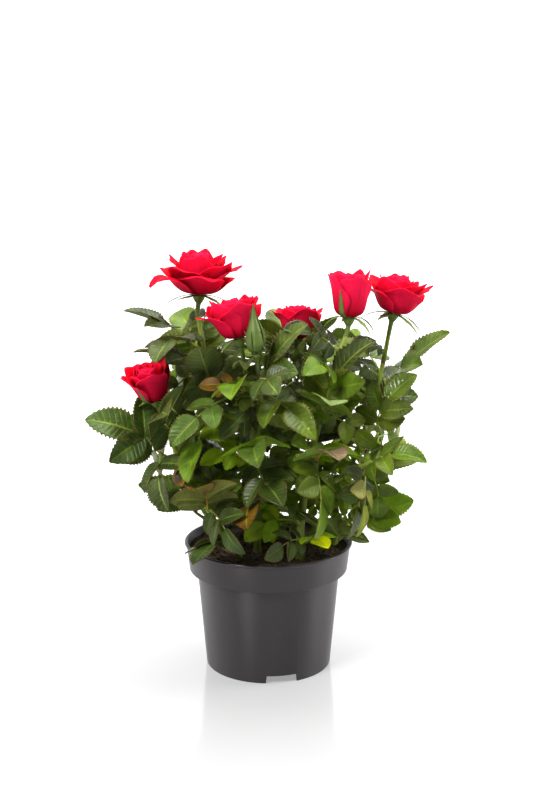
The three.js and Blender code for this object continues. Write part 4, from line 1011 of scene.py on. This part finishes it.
class ROSE_OT_pot(bpy.types.Operator):
    """Build the nursery pot: rolled edge, collar, tapering wall and notched foot"""

    bl_idname = "rose.pot"
    bl_label = "Pot"

    def execute(self, context):
        settings = context.scene.rose_pot
        wide, tall = settings.rim_radius / RIM_RADIUS, settings.height / POT_HEIGHT
        bm = new_mesh()
        line = [bm.verts.new((r * wide, 0.0, z * tall)) for r, z in POT_PROFILE]
        edges = [bm.edges.new(pair) for pair in zip(line, line[1:])]
        bmesh.ops.spin(
            bm,
            geom=line + edges,
            axis=(0, 0, 1),
            angle=2 * math.pi,
            steps=settings.sides,
            use_merge=True,
        )
        bmesh.ops.remove_doubles(bm, verts=bm.verts, dist=1e-6)
        for turn in NOTCH_TURNS:
            self.cut_notch(bm, math.radians(turn))
        bmesh.ops.recalc_face_normals(bm, faces=bm.faces)
        finish_piece(bm, "pot_shell", ["pot"], [pot_finish(tuple(settings.plastic))], crisp=50)
        return {"FINISHED"}

    def cut_notch(self, bm, turn):
        """Lifts the foot ring between two planes, which gives an arch with steep sides."""
        ahead = point(math.cos(turn), math.sin(turn), 0)
        side = point(-math.sin(turn), math.cos(turn), 0)
        for offset in (-1, 1):
            for slope in (0.0, NOTCH_SLOPE):
                at = side * offset * (NOTCH_WIDTH / 2 + slope) * MM
                low = [face for face in bm.faces if self.is_low(face, ahead)]
                edges = {edge for face in low for edge in face.edges}
                verts = {vert for face in low for vert in face.verts}
                bmesh.ops.bisect_plane(bm, geom=[*low, *edges, *verts], plane_co=at, plane_no=side)
        for vert in bm.verts:
            at = np.array(vert.co) / MM
            between = at @ ahead > AHEAD and abs(at @ side) < NOTCH_WIDTH / 2 + 0.05
            if between and at[2] < 1 and np.hypot(at[0], at[1]) > FOOT_INSIDE:
                vert.co.xy *= LIFT_OUT
                vert.co.z = (NOTCH_HEIGHT + at[2] * 0.2) * MM

    def is_low(self, face, ahead):
        """Whether a face is part of the foot on a notch's side."""
        middle = np.array(face.calc_center_median()) / MM
        return middle[2] < FOOT_ZONE and middle @ ahead > AHEAD


# ---------------------------------------------------------------- compost
FEET = [start for _, start, *_ in LIMBS if not isinstance(start[0], str)]


SOIL_EDGE = float(np.interp(SOIL_TOP, (73, 91), (55.3, 57.6))) - GAP
# radius and height, from the middle of its underside to its edge
SOIL_WALL = (
    (0, 1.5), (13.5, 1.5), (18.5, 8.5), (44.2, 8.5), (49.4, 70), (54.9, 73), (SOIL_EDGE, SOIL_TOP - 0.6),
)
SOIL_RINGS = 26


class ROSE_OT_compost(bpy.types.Operator):
    """Build the compost: an uneven peat surface with crumbs and fibres"""

    bl_idname = "rose.compost"
    bl_label = "Compost"

    def execute(self, context):
        settings = context.scene.rose_compost
        peat = tuple(settings.peat)
        rings = [SOIL_EDGE * (1 - (i / SOIL_RINGS) ** 1.05) for i in range(SOIL_RINGS + 1)]
        profile = np.array([*SOIL_WALL, *((radius, SOIL_TOP) for radius in rings)])
        bm = new_mesh()

        def place(u, v):
            row = np.rint(v * (len(profile) - 1)).astype(int)
            r, z = profile[row].T
            angle = np.pi * u
            x, y = r * np.cos(angle), r * np.sin(angle)
            height = np.where(row >= len(SOIL_WALL), self.surface(x, y), z)
            return np.stack([x, y, height], axis=-1)

        sheet(bm, 110, len(profile) - 1, place, peat)
        dice = Dice(71)
        for _ in range(settings.crumbs):
            self.add_crumb(bm, dice, peat)
        for _ in range(settings.fibres):
            self.add_fibre(bm, dice)
        finish_piece(bm, "compost_surface", ["compost"], [compost_finish()])
        return {"FINISHED"}

    def surface(self, x, y):
        """Height of the peat: hollows away from the canes, then lumps of two sizes."""
        nearest = np.min([np.hypot(x - fx, y - fy) for fx, fy in FEET], axis=0)
        lumps = 0.5 + 0.5 * np.sin(x * 0.21 + 1.3) * np.sin(y * 0.17 + x * 0.09)
        away = smooth(8, 22, nearest)
        rough = np.sin(x * 1.3 + 2.1 * np.sin(y * 0.9)) * np.sin(y * 1.5 + 1.7 * np.sin(x * 0.8))
        fine = np.sin(x * 3.7 + y * 1.1) * np.sin(y * 4.1 - x * 1.9)
        return SOIL_TOP - 2.2 * lumps * away + 0.75 * rough * mix(0.3, 1, away) + 0.3 * fine

    def spot(self, dice, reach):
        """A place on the surface, within a share of its radius."""
        r = SOIL_EDGE * reach * math.sqrt(dice.roll())
        a = dice.roll() * 2 * math.pi
        x, y = r * math.cos(a), r * math.sin(a)
        return x, y, float(self.surface(np.array(x), np.array(y)))

    def add_crumb(self, bm, dice, peat):
        x, y, z = self.spot(dice, 0.97)
        size = 0.5 + 1.5 * dice.roll() ** 2.5
        shade = 0.6 + 1.6 * dice.roll()
        verts = bmesh.ops.create_icosphere(bm, subdivisions=1, radius=size * MM)["verts"]
        layer = bm.verts.layers.float_color["tint"]
        tint = (peat[0] * shade, peat[1] * shade, peat[2] * shade, 1.0)
        squeeze = (0.8 + 0.5 * dice.roll(), 0.7 + 0.5 * dice.roll(), 0.55 + 0.3 * dice.roll())
        for vert in verts:
            knock = 1 + dice.spread(0.22)
            vert.co = [c * q * knock for c, q in zip(vert.co, squeeze)]
            vert.co += Vector((x, y, z + size * 0.25)) * MM
            vert[layer] = tint

    def add_fibre(self, bm, dice):
        x, y, z = self.spot(dice, 0.9021)
        long = 3 + 7 * dice.roll()
        turn = dice.roll() * 2 * math.pi
        ahead = point(math.cos(turn), math.sin(turn), dice.spread(0.25))
        start = point(x, y, z + 0.6)
        bend = point(dice.spread(2), dice.spread(2), 0.8 * dice.roll())
        curve = Curve(start - ahead * long / 2, start + bend, start + ahead * long / 2)
        shade = 0.5 + dice.roll()
        thick = 0.14 + 0.2 * dice.roll()
        tube(bm, curve, lambda t: thick, 4, 3, (0.24 * shade, 0.16 * shade, 0.085 * shade))


# ---------------------------------------------------------------- canes
THORNY = (0.08, 0.92)  # the stretch of a limb that bears thorns
KNOTS = 7  # swollen joints along a limb
KNOT_HEIGHT = 2.2
BAR_STEP = 2.2  # from one ring of a limb's mesh to the next


def add_thorns(bm, limb, gap, size, dice):
    """Curved thorns along a stem, at uneven distances and turns."""
    first, last = (share * limb.long for share in THORNY)
    at = first + gap * dice.roll()
    while at < last:
        share = at / limb.long
        tangent = limb.curve.tangent(share)
        side = unit(np.cross(tangent, point(dice.spread(1), dice.spread(1), dice.spread(1))))
        foot = limb.curve.at(share) + side * limb.radius(share) * 0.8
        out = size * (0.65 + 0.5 * dice.roll())
        tip = foot + side * out - tangent * out * 0.45
        spine = Curve(foot, foot + side * out * 0.6 + tangent * out * 0.1, tip)
        wide = out * 0.42
        tube(bm, spine, lambda t: wide * (1 - t) ** 1.5 + 0.05, 6, 4, THORN_RED)
        at += gap * (0.6 + 0.8 * dice.roll())


class ROSE_OT_canes(bpy.types.Operator):
    """Build the canes and boughs, with their nodes, bark relief and thorns"""

    bl_idname = "rose.canes"
    bl_label = "Canes"

    def execute(self, context):
        settings = context.scene.rose_canes
        limbs = grow_limbs()
        bm = new_mesh()
        for order, limb in enumerate(limbs.values()):
            dice = Dice(900 + order)
            relief = self.relief(limb, dice)
            young = 0.35 + 0.5 * dice.roll()
            tint = tuple(np.array(settings.bark) * (0.8 + 0.35 * young))
            steps = max(24, int(limb.long / BAR_STEP))
            tube(bm, limb.curve, limb.radius, 14, steps, tint, self.lowest(limb), relief)
            add_thorns(bm, limb, settings.thorn_gap / MM, settings.thorn_size / MM, dice)
        finish_piece(bm, "canes_and_boughs", list(limbs), [cane_finish()])
        return {"FINISHED"}

    def relief(self, limb, dice):
        """What a limb's radius is multiplied by: knots, and shallow ribs that wind round it."""
        phase = dice.roll() * WAVE_TURN
        knots = [0.12 + 0.13 * i + dice.spread(0.02) for i in range(KNOTS)]

        def factor(angle, share):
            swell = sum(np.exp(-(((share - knot) * limb.long / KNOT_HEIGHT) ** 2)) for knot in knots)
            return 1 + 0.13 * swell + 0.03 * np.sin(angle * 3 + share * 24 + phase)

        return factor

    def lowest(self, limb):
        """The share of a limb at which it comes out of the compost."""
        low = 0.0
        while limb.rooted and limb.curve.at(low)[2] < SOIL_TOP - 0.8:
            low += 0.002
        return low


# ---------------------------------------------------------------- foliage
TINTS = {
    "dark": (0.064, 0.102, 0.021),
    "mid": (0.168, 0.250, 0.019),
    # yellow-green of young leaves, also used as painted glow of leaves lit from behind
    "fresh": (0.370, 0.505, 0.025),
    "bronze": (0.240, 0.110, 0.012),
    "olive": (0.215, 0.200, 0.020),
    "mauve": (0.240, 0.140, 0.105),
    "pale": (0.400, 0.440, 0.250),
    "yellow": (0.780, 0.740, 0.012),
}
TWIG_GREEN = (0.280, 0.370, 0.050)
YOUNG_BUD = (0.17, 0.07, 0.035)
MIDDLE = 34  # half the width of the crown's front quarter
BACK = 18  # the crown's back quarter starts here
STIPULE_SHARE = 0.24  # of a leaf stalk, that its stipules run along
RIB_DROP = 0.3  # how far a leaflet's rib stands out under it


class Stalk:
    """A leaf's stalk and rachis, as a curve that a tube can follow."""

    def __init__(self, leaf):
        self.leaf = leaf

    def at(self, t):
        return self.leaf.frame(t)[0]

    def tangent(self, t):
        return self.leaf.frame(t)[1]


class ROSE_OT_foliage(bpy.types.Operator):
    """Grow the side shoots and their compound leaves, with serrated and veined leaflets"""

    bl_idname = "rose.foliage"
    bl_label = "Foliage"

    def execute(self, context):
        settings = context.scene.rose_leaves
        limbs = grow_limbs()
        finishes = leaf_finish("leaf_upper", False), leaf_finish("leaf_under", True)
        shoots = [Shoot(order, limbs, *row[:-1]) for order, row in enumerate(SHOOTS)]
        hosts = {**limbs, **{shoot.name: shoot for shoot in shoots}}
        quarters = {name: (new_mesh(), []) for name in ("front", "left", "right", "back")}
        twigs, stipules = new_mesh(), new_mesh()
        for shoot, row in zip(shoots, SHOOTS):
            blades, nodes = quarters[self.quarter(shoot.curve.at(1))]
            nodes.append(shoot.name)
            dice = Dice(4000 + shoot.order)
            tube(twigs, shoot.wood, shoot.radius, 9, 10, self.green(dice))
            for leaf, tint in zip(shoot.leaves, self.leaf_tints(*row[-2:])):
                self.add_leaf(blades, twigs, stipules, leaf, tint, settings.teeth, dice)
        for number, (host, *plan) in enumerate(SPURS):
            leaf = spur_leaf(hosts[host], *plan)
            dice = Dice(8000 + number)
            blades, _ = quarters[self.quarter(leaf.base)]
            tint = self.spur_tint(leaf.base, dice)
            self.add_leaf(blades, twigs, stipules, leaf, tint, settings.teeth - 4, dice)
        for name, (blades, nodes) in quarters.items():
            finish_piece(blades, f"leaves_in_{name}", nodes, finishes, settings.thickness / MM)
        green = [stalk_finish("twig_green")]
        finish_piece(twigs, "leaf_twigs", [], green)
        finish_piece(stipules, "leaf_stipules", [], green, settings.thickness / MM)
        return {"FINISHED"}

    def leaf_tints(self, kept, tints):
        """The tint of each leaf that found room. The last one repeats."""
        return [tints[min(i, len(tints) - 1)] for i, attempt in enumerate(kept) if attempt >= 0]

    def quarter(self, place):
        """The part of the crown that a place lies in, by name."""
        x, y, _ = place
        if y > BACK:
            return "back"
        if abs(x) < MIDDLE:
            return "front"
        return "left" if x < 0 else "right"

    def spur_tint(self, place, dice):
        """Brighter low down and most on the right, where the bright yellow-green tint is painted glow of
        leaves lit from behind, with a bronze leaf here and there.
        """
        x, _, z = place
        roll = dice.roll()
        # painted light: low leaves, most of all on the right, take the bright tint as painted glow from
        # behind
        if z < 180 and roll < (0.85 if x > 10 else 0.3):
            return "fresh"
        if roll > 0.93:
            return "bronze"
        return "mid" if roll > 0.5 else "dark"

    def green(self, dice):
        return tuple(point(*TWIG_GREEN) * (0.7 + 0.5 * dice.roll()))

    def add_leaf(self, blades, twigs, stipules, leaf, tint, teeth, dice):
        """
        A whole leaf: blades, stalk, ribs, stipules and the bud beside its foot.

        A tint of two names gives the end leaflet the first and the others the second.
        """
        shade = 0.5 + 1.05 * dice.roll() ** 1.6
        for number, leaflet in enumerate(leaf.leaflets):
            colour = np.array(TINTS[tint.split("/")[-1 if number else 0]]) * shade
            warm = point(1 + dice.spread(0.12), 1, 1 + dice.spread(0.1))
            own = tuple(colour * warm * (0.88 + 0.24 * dice.roll()))
            self.add_leaflet(blades, leaflet, teeth, own, dice)
        green = self.green(dice)
        flush = point(1.6, 0.7, 0.8) if tint.startswith(("bronze", "mauve")) else point(1.1, 1, 1)
        thick = 0.25 + leaf.size / 50
        tube(twigs, Stalk(leaf), lambda t: thick * mix(1, 0.5, t), 7, 12, tuple(green * flush))
        self.add_stipules(stipules, leaf, green)
        self.add_ribs(twigs, leaf, tuple(colour * 0.5 + np.array(green) * 0.7))
        if leaf.long > 26:
            self.add_young(twigs, leaf, dice)

    def add_leaflet(self, bm, leaflet, teeth, tint, dice):
        """A serrated blade, waved a little, with its midrib sunk in."""
        rows = teeth * 2
        phase = dice.roll() * WAVE_TURN
        ruffle = leaflet.length * (0.008 + 0.014 * dice.roll())

        def place(u, v):
            edge = np.abs(u) > 0.98
            row = np.rint(v * rows)
            tooth = (row % 2 == 1) & (row > 1) & (row < rows)
            u = np.where(edge & ~tooth, u * 0.87, np.where(edge & tooth, u * 1.04, u))
            along = np.where(edge & tooth, v + 0.4 / rows, v)
            wave = ruffle * np.sin(v * 9 + u * 1.5 + phase) * np.abs(u) ** 1.5
            rib = 0.012 * leaflet.length * (1 - np.abs(u)) * (np.abs(u) < 0.1)
            return leaflet.at(u, np.clip(along, 0, 1), wave - rib)

        sheet(bm, 8, rows, place, tint)

    def add_stipules(self, bm, leaf, tint):
        """The pair of wings at a leaf stalk's foot."""
        for hand in (1, -1):

            def place(u, v, hand=hand):
                out = np.empty((len(u), 3))
                for k, (a, b) in enumerate(zip(u, v)):
                    at, _, side, face = leaf.frame(STIPULE_SHARE * b)
                    wide = leaf.size * 0.05 * math.sin(math.pi * min(1, 0.25 + b * 0.75)) ** 0.6
                    out[k] = at + side * hand * (0.4 + (a + 1) / 2 * wide) + face * 0.35 * (a + 1)
                return out

            sheet(bm, 2, 5, place, tint)

    def add_ribs(self, bm, leaf, tint):
        """The midrib that stands out under each leaflet."""
        for leaflet in leaf.leaflets:
            rib = Curve(*[leaflet.at(0.0, v) - leaflet.face * RIB_DROP for v in (0.0, 0.42, 0.9)])
            thick = leaflet.length / 60
            tube(bm, rib, lambda t: thick * mix(1, 0.3, t), 5, 5, tint)

    def add_young(self, bm, leaf, dice):
        """A small bud in the angle between a leaf and its shoot."""
        at, tangent, _, face = leaf.frame(0.03)
        tip = at + unit(tangent * 0.4 + face) * (3.2 + 2 * dice.roll())
        bud = Curve(at, (at + tip) / 2 + tangent * 0.3, tip)
        tube(bm, bud, lambda t: 0.2 + math.sin(math.pi * min(1, t + 0.25)), 6, 5, YOUNG_BUD)


# ---------------------------------------------------------------- blooms
# radius and height of the hip, from the stalk up
HIP_PROFILE = (
    (0, -HIP_HEIGHT), (1.6, -HIP_HEIGHT), (2.9, -5.2), (4.0, -3.2),
    (HIP_RADIUS, -1.6), (3.6, 0.2), (2.6, 1.0), (0, 1.4),
)
SEPAL_THICK = 0.45
SEPAL_STRAY = (14, -10, 22, -16, 4)  # degrees by which each sepal bends more than the others
STILL = 0.4  # blooms less open than this keep one sepal against their petals
BUD_TINT = (0.62, 0.64, 0.6)  # of the calyx's green
BUD_SHARES = (0, 0.05, 0.22, 0.45, 0.72, 1.0)
BUD_SIZES = (0.0, 0.32, 0.48, 0.40, 0.15, 0.0)  # radius at these shares of its length, in widths


def add_calyx(bm, head, tint, sepal, scale=1.0):
    """Stalk, hip and sepals under a bloom. sepal gives the points of sepal i."""
    tube(bm, head.stalk, lambda t: STALK_RADIUS * (1.05 + 0.3 * t**3), 12, 14, tint)
    hip = np.array(HIP_PROFILE) * scale

    def place(u, v):
        row = np.rint(v * (len(hip) - 1)).astype(int)
        r, z = hip[row].T
        return head.place(around(r, np.pi * u, z))

    sheet(bm, 14, len(hip) - 1, place, tint)
    for i in range(SEPALS):
        turn = i * 2 * math.pi / SEPALS + 0.4
        pale = tuple(c * (0.9 + 0.2 * (i % 3)) for c in tint)
        for lift in (0.0, -SEPAL_THICK):

            def blade(u, v, turn=turn, lift=lift, i=i):
                side = u if lift == 0.0 else -u
                edge = (np.abs(u) < 0.99) & (v > 0.01) & (v < 0.99)
                return head.place(sepal(i, turn, side, v, lift * edge))

            sheet(bm, 4, 14, blade, pale)


def reflexed(first, last, scale=1.0):
    """
    Sepals that leave the hip at first degrees off its axis and bend to last.

    Each call of sepal gives the points of one, moved off its face by lift.
    """

    def sepal(i, turn, u, v, lift):
        own = last + SEPAL_STRAY[i]
        bend = np.radians(first + (own - first) * v)
        outward = around(np.cos(bend), turn, -np.sin(bend))
        twist = 2.6 * v * v * math.sin(i * 2.3)
        across = point(-math.sin(turn), math.cos(turn), 0)
        shaped = sepal_at(turn, first, own, u, v, scale)
        return shaped + outward * lift[:, None] + np.multiply.outer(twist, across)

    return sepal


def hugging(petal, which, last):
    """As reflexed, but with one sepal that still lies against the petals' outside."""
    away = reflexed(88, last)

    def sepal(i, turn, u, v, lift):
        if i != which:
            return away(i, turn, u, v, lift)
        middle = petal.at(np.zeros_like(v), v * 0.78)
        radius = np.hypot(middle[:, 0], middle[:, 1]) + 0.9 + lift
        angle = turn + 1.25 * sepal_half(v) * u / np.maximum(radius, 3)
        return around(radius, angle, middle[:, 2] - 0.4)

    return sepal


class ROSE_OT_blooms(bpy.types.Operator):
    """Build the blooms, petal by petal, on their stalks, hips and sepals"""

    bl_idname = "rose.blooms"
    bl_label = "Blooms"

    def execute(self, context):
        settings = context.scene.rose_blooms
        limbs = grow_limbs()
        finishes = petal_finish("petal_outside", True), petal_finish("petal_inside", False)
        green = stalk_finish("calyx_green")
        for name, limb, calyx, axis, opened, size in BLOOMS:
            head = Head(limbs, limb, calyx, axis)
            stem = new_mesh()
            last = mix(150, 112, opened)
            sepal = reflexed(92, last, 1.2)
            if opened < STILL:
                sepal = hugging(Petal(opened, size, PETALS - 1), 3, last)
            add_calyx(stem, head, tuple(settings.green), sepal)
            finish_piece(stem, f"{name}_calyx", [], [green])
            petals = new_mesh()
            for i in range(PETALS):
                petal = Petal(opened, size, i)
                sheet(petals, 14, 16, lambda u, v: head.place(self.shape(petal, u, v)))
            finish_piece(petals, f"{name}_petals", [name], finishes, settings.thickness / MM)
        return {"FINISHED"}

    def shape(self, petal, u, v):
        """A petal with its edge rolled back, a pointed tip and fine creases."""
        beak = 0.06 * np.exp(-((u / 0.2) ** 2)) + 0.045 * np.sin(u * 8 + petal.phase * 2)
        points = petal.at(u, v * (1 + beak * petal.rank * v**3))
        outward = point(math.cos(petal.turn), math.sin(petal.turn), 0)
        crease = np.sin(u * 11 + petal.phase) * 0.008 * petal.size * v**3 * (0.4 + petal.rank)
        roll = 0.05 * petal.size * petal.rank * smooth(0.7, 1.0, v) * (np.abs(u) ** 2)
        return points + outward * (crease + roll)[:, None] - UP * (roll * 0.6)[:, None]


class ROSE_OT_bud(bpy.types.Operator):
    """Build the tall closed bud, wrapped in its long sepals"""

    bl_idname = "rose.bud"
    bl_label = "Bud"

    def execute(self, context):
        settings = context.scene.rose_blooms
        limbs = grow_limbs()
        green = stalk_finish("bud_green")
        tint = tuple(c * share for c, share in zip(settings.green, BUD_TINT))
        for name, limb, calyx, axis, length, width in BUDS:
            head = Head(limbs, limb, calyx, axis)
            bm, wraps = new_mesh(), new_mesh()
            add_calyx(bm, head, tint, reflexed(4, 12, 0.8), 0.8)
            self.add_body(bm, head, length, width, tint)
            for i in range(SEPALS):
                self.add_wrap(wraps, head, i, length, width, tint)
            finish_piece(bm, f"{name}_body", [name], [green])
            finish_piece(wraps, f"{name}_sepals", [], [green], 0.3)
        return {"FINISHED"}

    def add_body(self, bm, head, length, width, tint):
        """The bud itself, with shallow folds."""

        def body(u, v):
            r = np.interp(v, BUD_SHARES, BUD_SIZES) * width
            fold = 1 + 0.05 * np.cos(u * np.pi * 5)
            return head.place(around(r * fold, np.pi * u, v * length))

        sheet(bm, 25, 24, body, tint)

    def add_wrap(self, bm, head, i, length, width, tint):
        """A long sepal that lies against the bud, with its tip bent off to a side."""
        turn = i * 2 * math.pi / SEPALS

        def wrap(u, v):
            r = np.interp(v, BUD_SHARES, BUD_SIZES) * width + 0.5 * (1 - v) + 0.25
            angle = turn + u * 0.62 * (1 - v**2.2)
            lean = 1.8 * v**4 * math.sin(i * 2.4)
            at = around(r, angle, v * length * (1 - 0.04 * i))
            return head.place(at + np.multiply.outer(lean, point(1, 0, 0)))

        sheet(bm, 6, 18, wrap, tuple(c * (0.85 + 0.12 * (i % 3)) for c in tint))


# ---------------------------------------------------------------- stage
FLOOR_SIZE = 12.0
FLOOR_GREY = (0.25, 0.25, 0.25, 1.0)
CAMERA_LENS = 59.0
CAMERA_PLACE = (-0.0014, -0.9, 0.383)
CAMERA_DOWN = 11.92  # degrees
EXPOSURE = 0.42
GAMMA = 0.86
LIT_POINT = (0.0, 0.0, 0.16)
# name, place, size, share of the key light's power
LIGHTS = (
    ("key", (-0.75, -0.85, 1.2), 0.5, 1.0),
    ("top", (0.15, 0.35, 1.5), 1.0, 0.9),
    ("side", (1.1, 0.15, 0.7), 0.6, 0.5),
)


class ROSE_OT_stage(bpy.types.Operator):
    """Set the pale floor, the soft lights and the camera"""

    bl_idname = "rose.stage"
    bl_label = "Stage"

    def execute(self, context):
        scene = context.scene
        settings = scene.rose_stage
        self.add_floor(scene)
        self.set_world(scene, settings)
        for name, at, size, share in LIGHTS:
            self.add_light(scene, name, at, size, settings.key_power * share)
        self.add_camera(scene)
        scene.view_settings.view_transform = "Standard"
        scene.view_settings.look = "None"
        scene.view_settings.exposure = EXPOSURE
        scene.view_settings.gamma = GAMMA
        return {"FINISHED"}

    def add_floor(self, scene):
        """A polished grey floor that a painted glow makes white and whose shadows it fills; the glow
        brightens with its distance from the pot, which paints shade round it.
        """
        bm = bmesh.new()
        bmesh.ops.create_grid(bm, x_segments=1, y_segments=1, size=FLOOR_SIZE)
        mesh = bpy.data.meshes.new("floor")
        bm.to_mesh(mesh)
        bm.free()
        floor = bpy.data.objects.new("floor", mesh)
        scene.collection.objects.link(floor)
        s = Shader("floor_painted_glow")
        haze = s.noise(s.place(), 3.0, 2.0)
        away = s.node("ShaderNodeVectorMath", {"operation": "LENGTH"}, {0: s.place()}, "Value")
        # painted light: the floor's emission, dim near the pot as painted shade and bright further out as
        # painted glow
        far = s.shaded((1.0, 1.0, 1.0), s.ramp(away, 0.12, 0.6, 0.29, 0.85))
        glow = {"Emission Color": far, "Emission Strength": 1.0, "Specular IOR Level": 0.9}
        mesh.materials.append(s.surface(FLOOR_GREY, s.ramp(haze, 0.3, 0.7, 0.1, 0.13), fixed=glow))

    def set_world(self, scene, settings):
        """A bright room that is dim towards the front, except where the camera sees it."""
        scene.world = bpy.data.worlds.new("Studio")
        w = Shader("", scene.world)
        spot = w.node("ShaderNodeTexCoord", None, None, "Generated")
        ahead = w.node("ShaderNodeSeparateXYZ", None, {0: spot}, 1)
        height = w.node("ShaderNodeSeparateXYZ", None, {0: spot}, 2)
        room = w.ramp(ahead, -0.5, 0.2, settings.dimness, 1.0)
        room = w.math("MAXIMUM", room, w.ramp(height, 0.45, 0.95, 0.0, 1.0))
        seen = w.node("ShaderNodeLightPath", None, None, "Is Camera Ray")
        light = w.shaded(tuple(settings.backdrop), w.math("MAXIMUM", room, seen))
        back = w.node("ShaderNodeBackground", None, {"Color": light, "Strength": 1.0})
        w.end("ShaderNodeOutputWorld", back)

    def add_light(self, scene, name, at, size, power):
        """A square soft light that shines on the middle of the plant."""
        lamp = bpy.data.lights.new(name, "AREA")
        lamp.shape = "SQUARE"
        lamp.size = size
        lamp.energy = power
        light = bpy.data.objects.new(name, lamp)
        light.location = at
        light.rotation_euler = aim_turn(point(*LIT_POINT) - point(*at))
        scene.collection.objects.link(light)

    def add_camera(self, scene):
        lens = bpy.data.cameras.new("camera")
        lens.lens = CAMERA_LENS
        lens.sensor_width = 36.0
        camera = bpy.data.objects.new("camera", lens)
        camera.location = CAMERA_PLACE
        camera.rotation_euler = (math.radians(90 - CAMERA_DOWN), 0.0, 0.0)
        scene.collection.objects.link(camera)
        scene.camera = camera


def aim_turn(aim):
    """The angles that point a lamp's -Z along a direction."""
    x, y, z = unit(aim)
    return (math.acos(-z), 0.0, math.atan2(y, x) - math.pi / 2)


# ---------------------------------------------------------------- panel
class ROSE_PT_panel(bpy.types.Panel):
    """Lists the steps that build the potted rose"""

    bl_idname = "ROSE_PT_panel"
    bl_label = "Rose bush"
    bl_space_type = "VIEW_3D"
    bl_region_type = "UI"
    bl_category = "Rose bush"

    def draw(self, context):
        for group in SETTINGS:
            box = self.layout.box()
            settings = getattr(context.scene, group)
            for key in settings.__annotations__:
                box.prop(settings, key)
        for step in STEPS:
            self.layout.operator(step.bl_idname)


SETTINGS = {
    "rose_pot": PotSettings,
    "rose_compost": CompostSettings,
    "rose_canes": CaneSettings,
    "rose_leaves": LeafSettings,
    "rose_blooms": BloomSettings,
    "rose_stage": StageSettings,
}
STEPS = (
    ROSE_OT_pot,
    ROSE_OT_compost,
    ROSE_OT_canes,
    ROSE_OT_foliage,
    ROSE_OT_blooms,
    ROSE_OT_bud,
    ROSE_OT_stage,
)


def register():
    for cls in (*SETTINGS.values(), *STEPS, ROSE_PT_panel):
        bpy.utils.register_class(cls)
    for name, group in SETTINGS.items():
        setattr(bpy.types.Scene, name, bpy.props.PointerProperty(type=group))


def unregister():
    for name in SETTINGS:
        delattr(bpy.types.Scene, name)
    for cls in reversed((*SETTINGS.values(), *STEPS, ROSE_PT_panel)):
        bpy.utils.unregister_class(cls)


def main():
    register()
    bpy.ops.rose.pot()
    bpy.ops.rose.compost()
    bpy.ops.rose.canes()
    bpy.ops.rose.foliage()
    bpy.ops.rose.blooms()
    bpy.ops.rose.bud()
    bpy.ops.rose.stage()


if __name__ == "__main__":
    main()
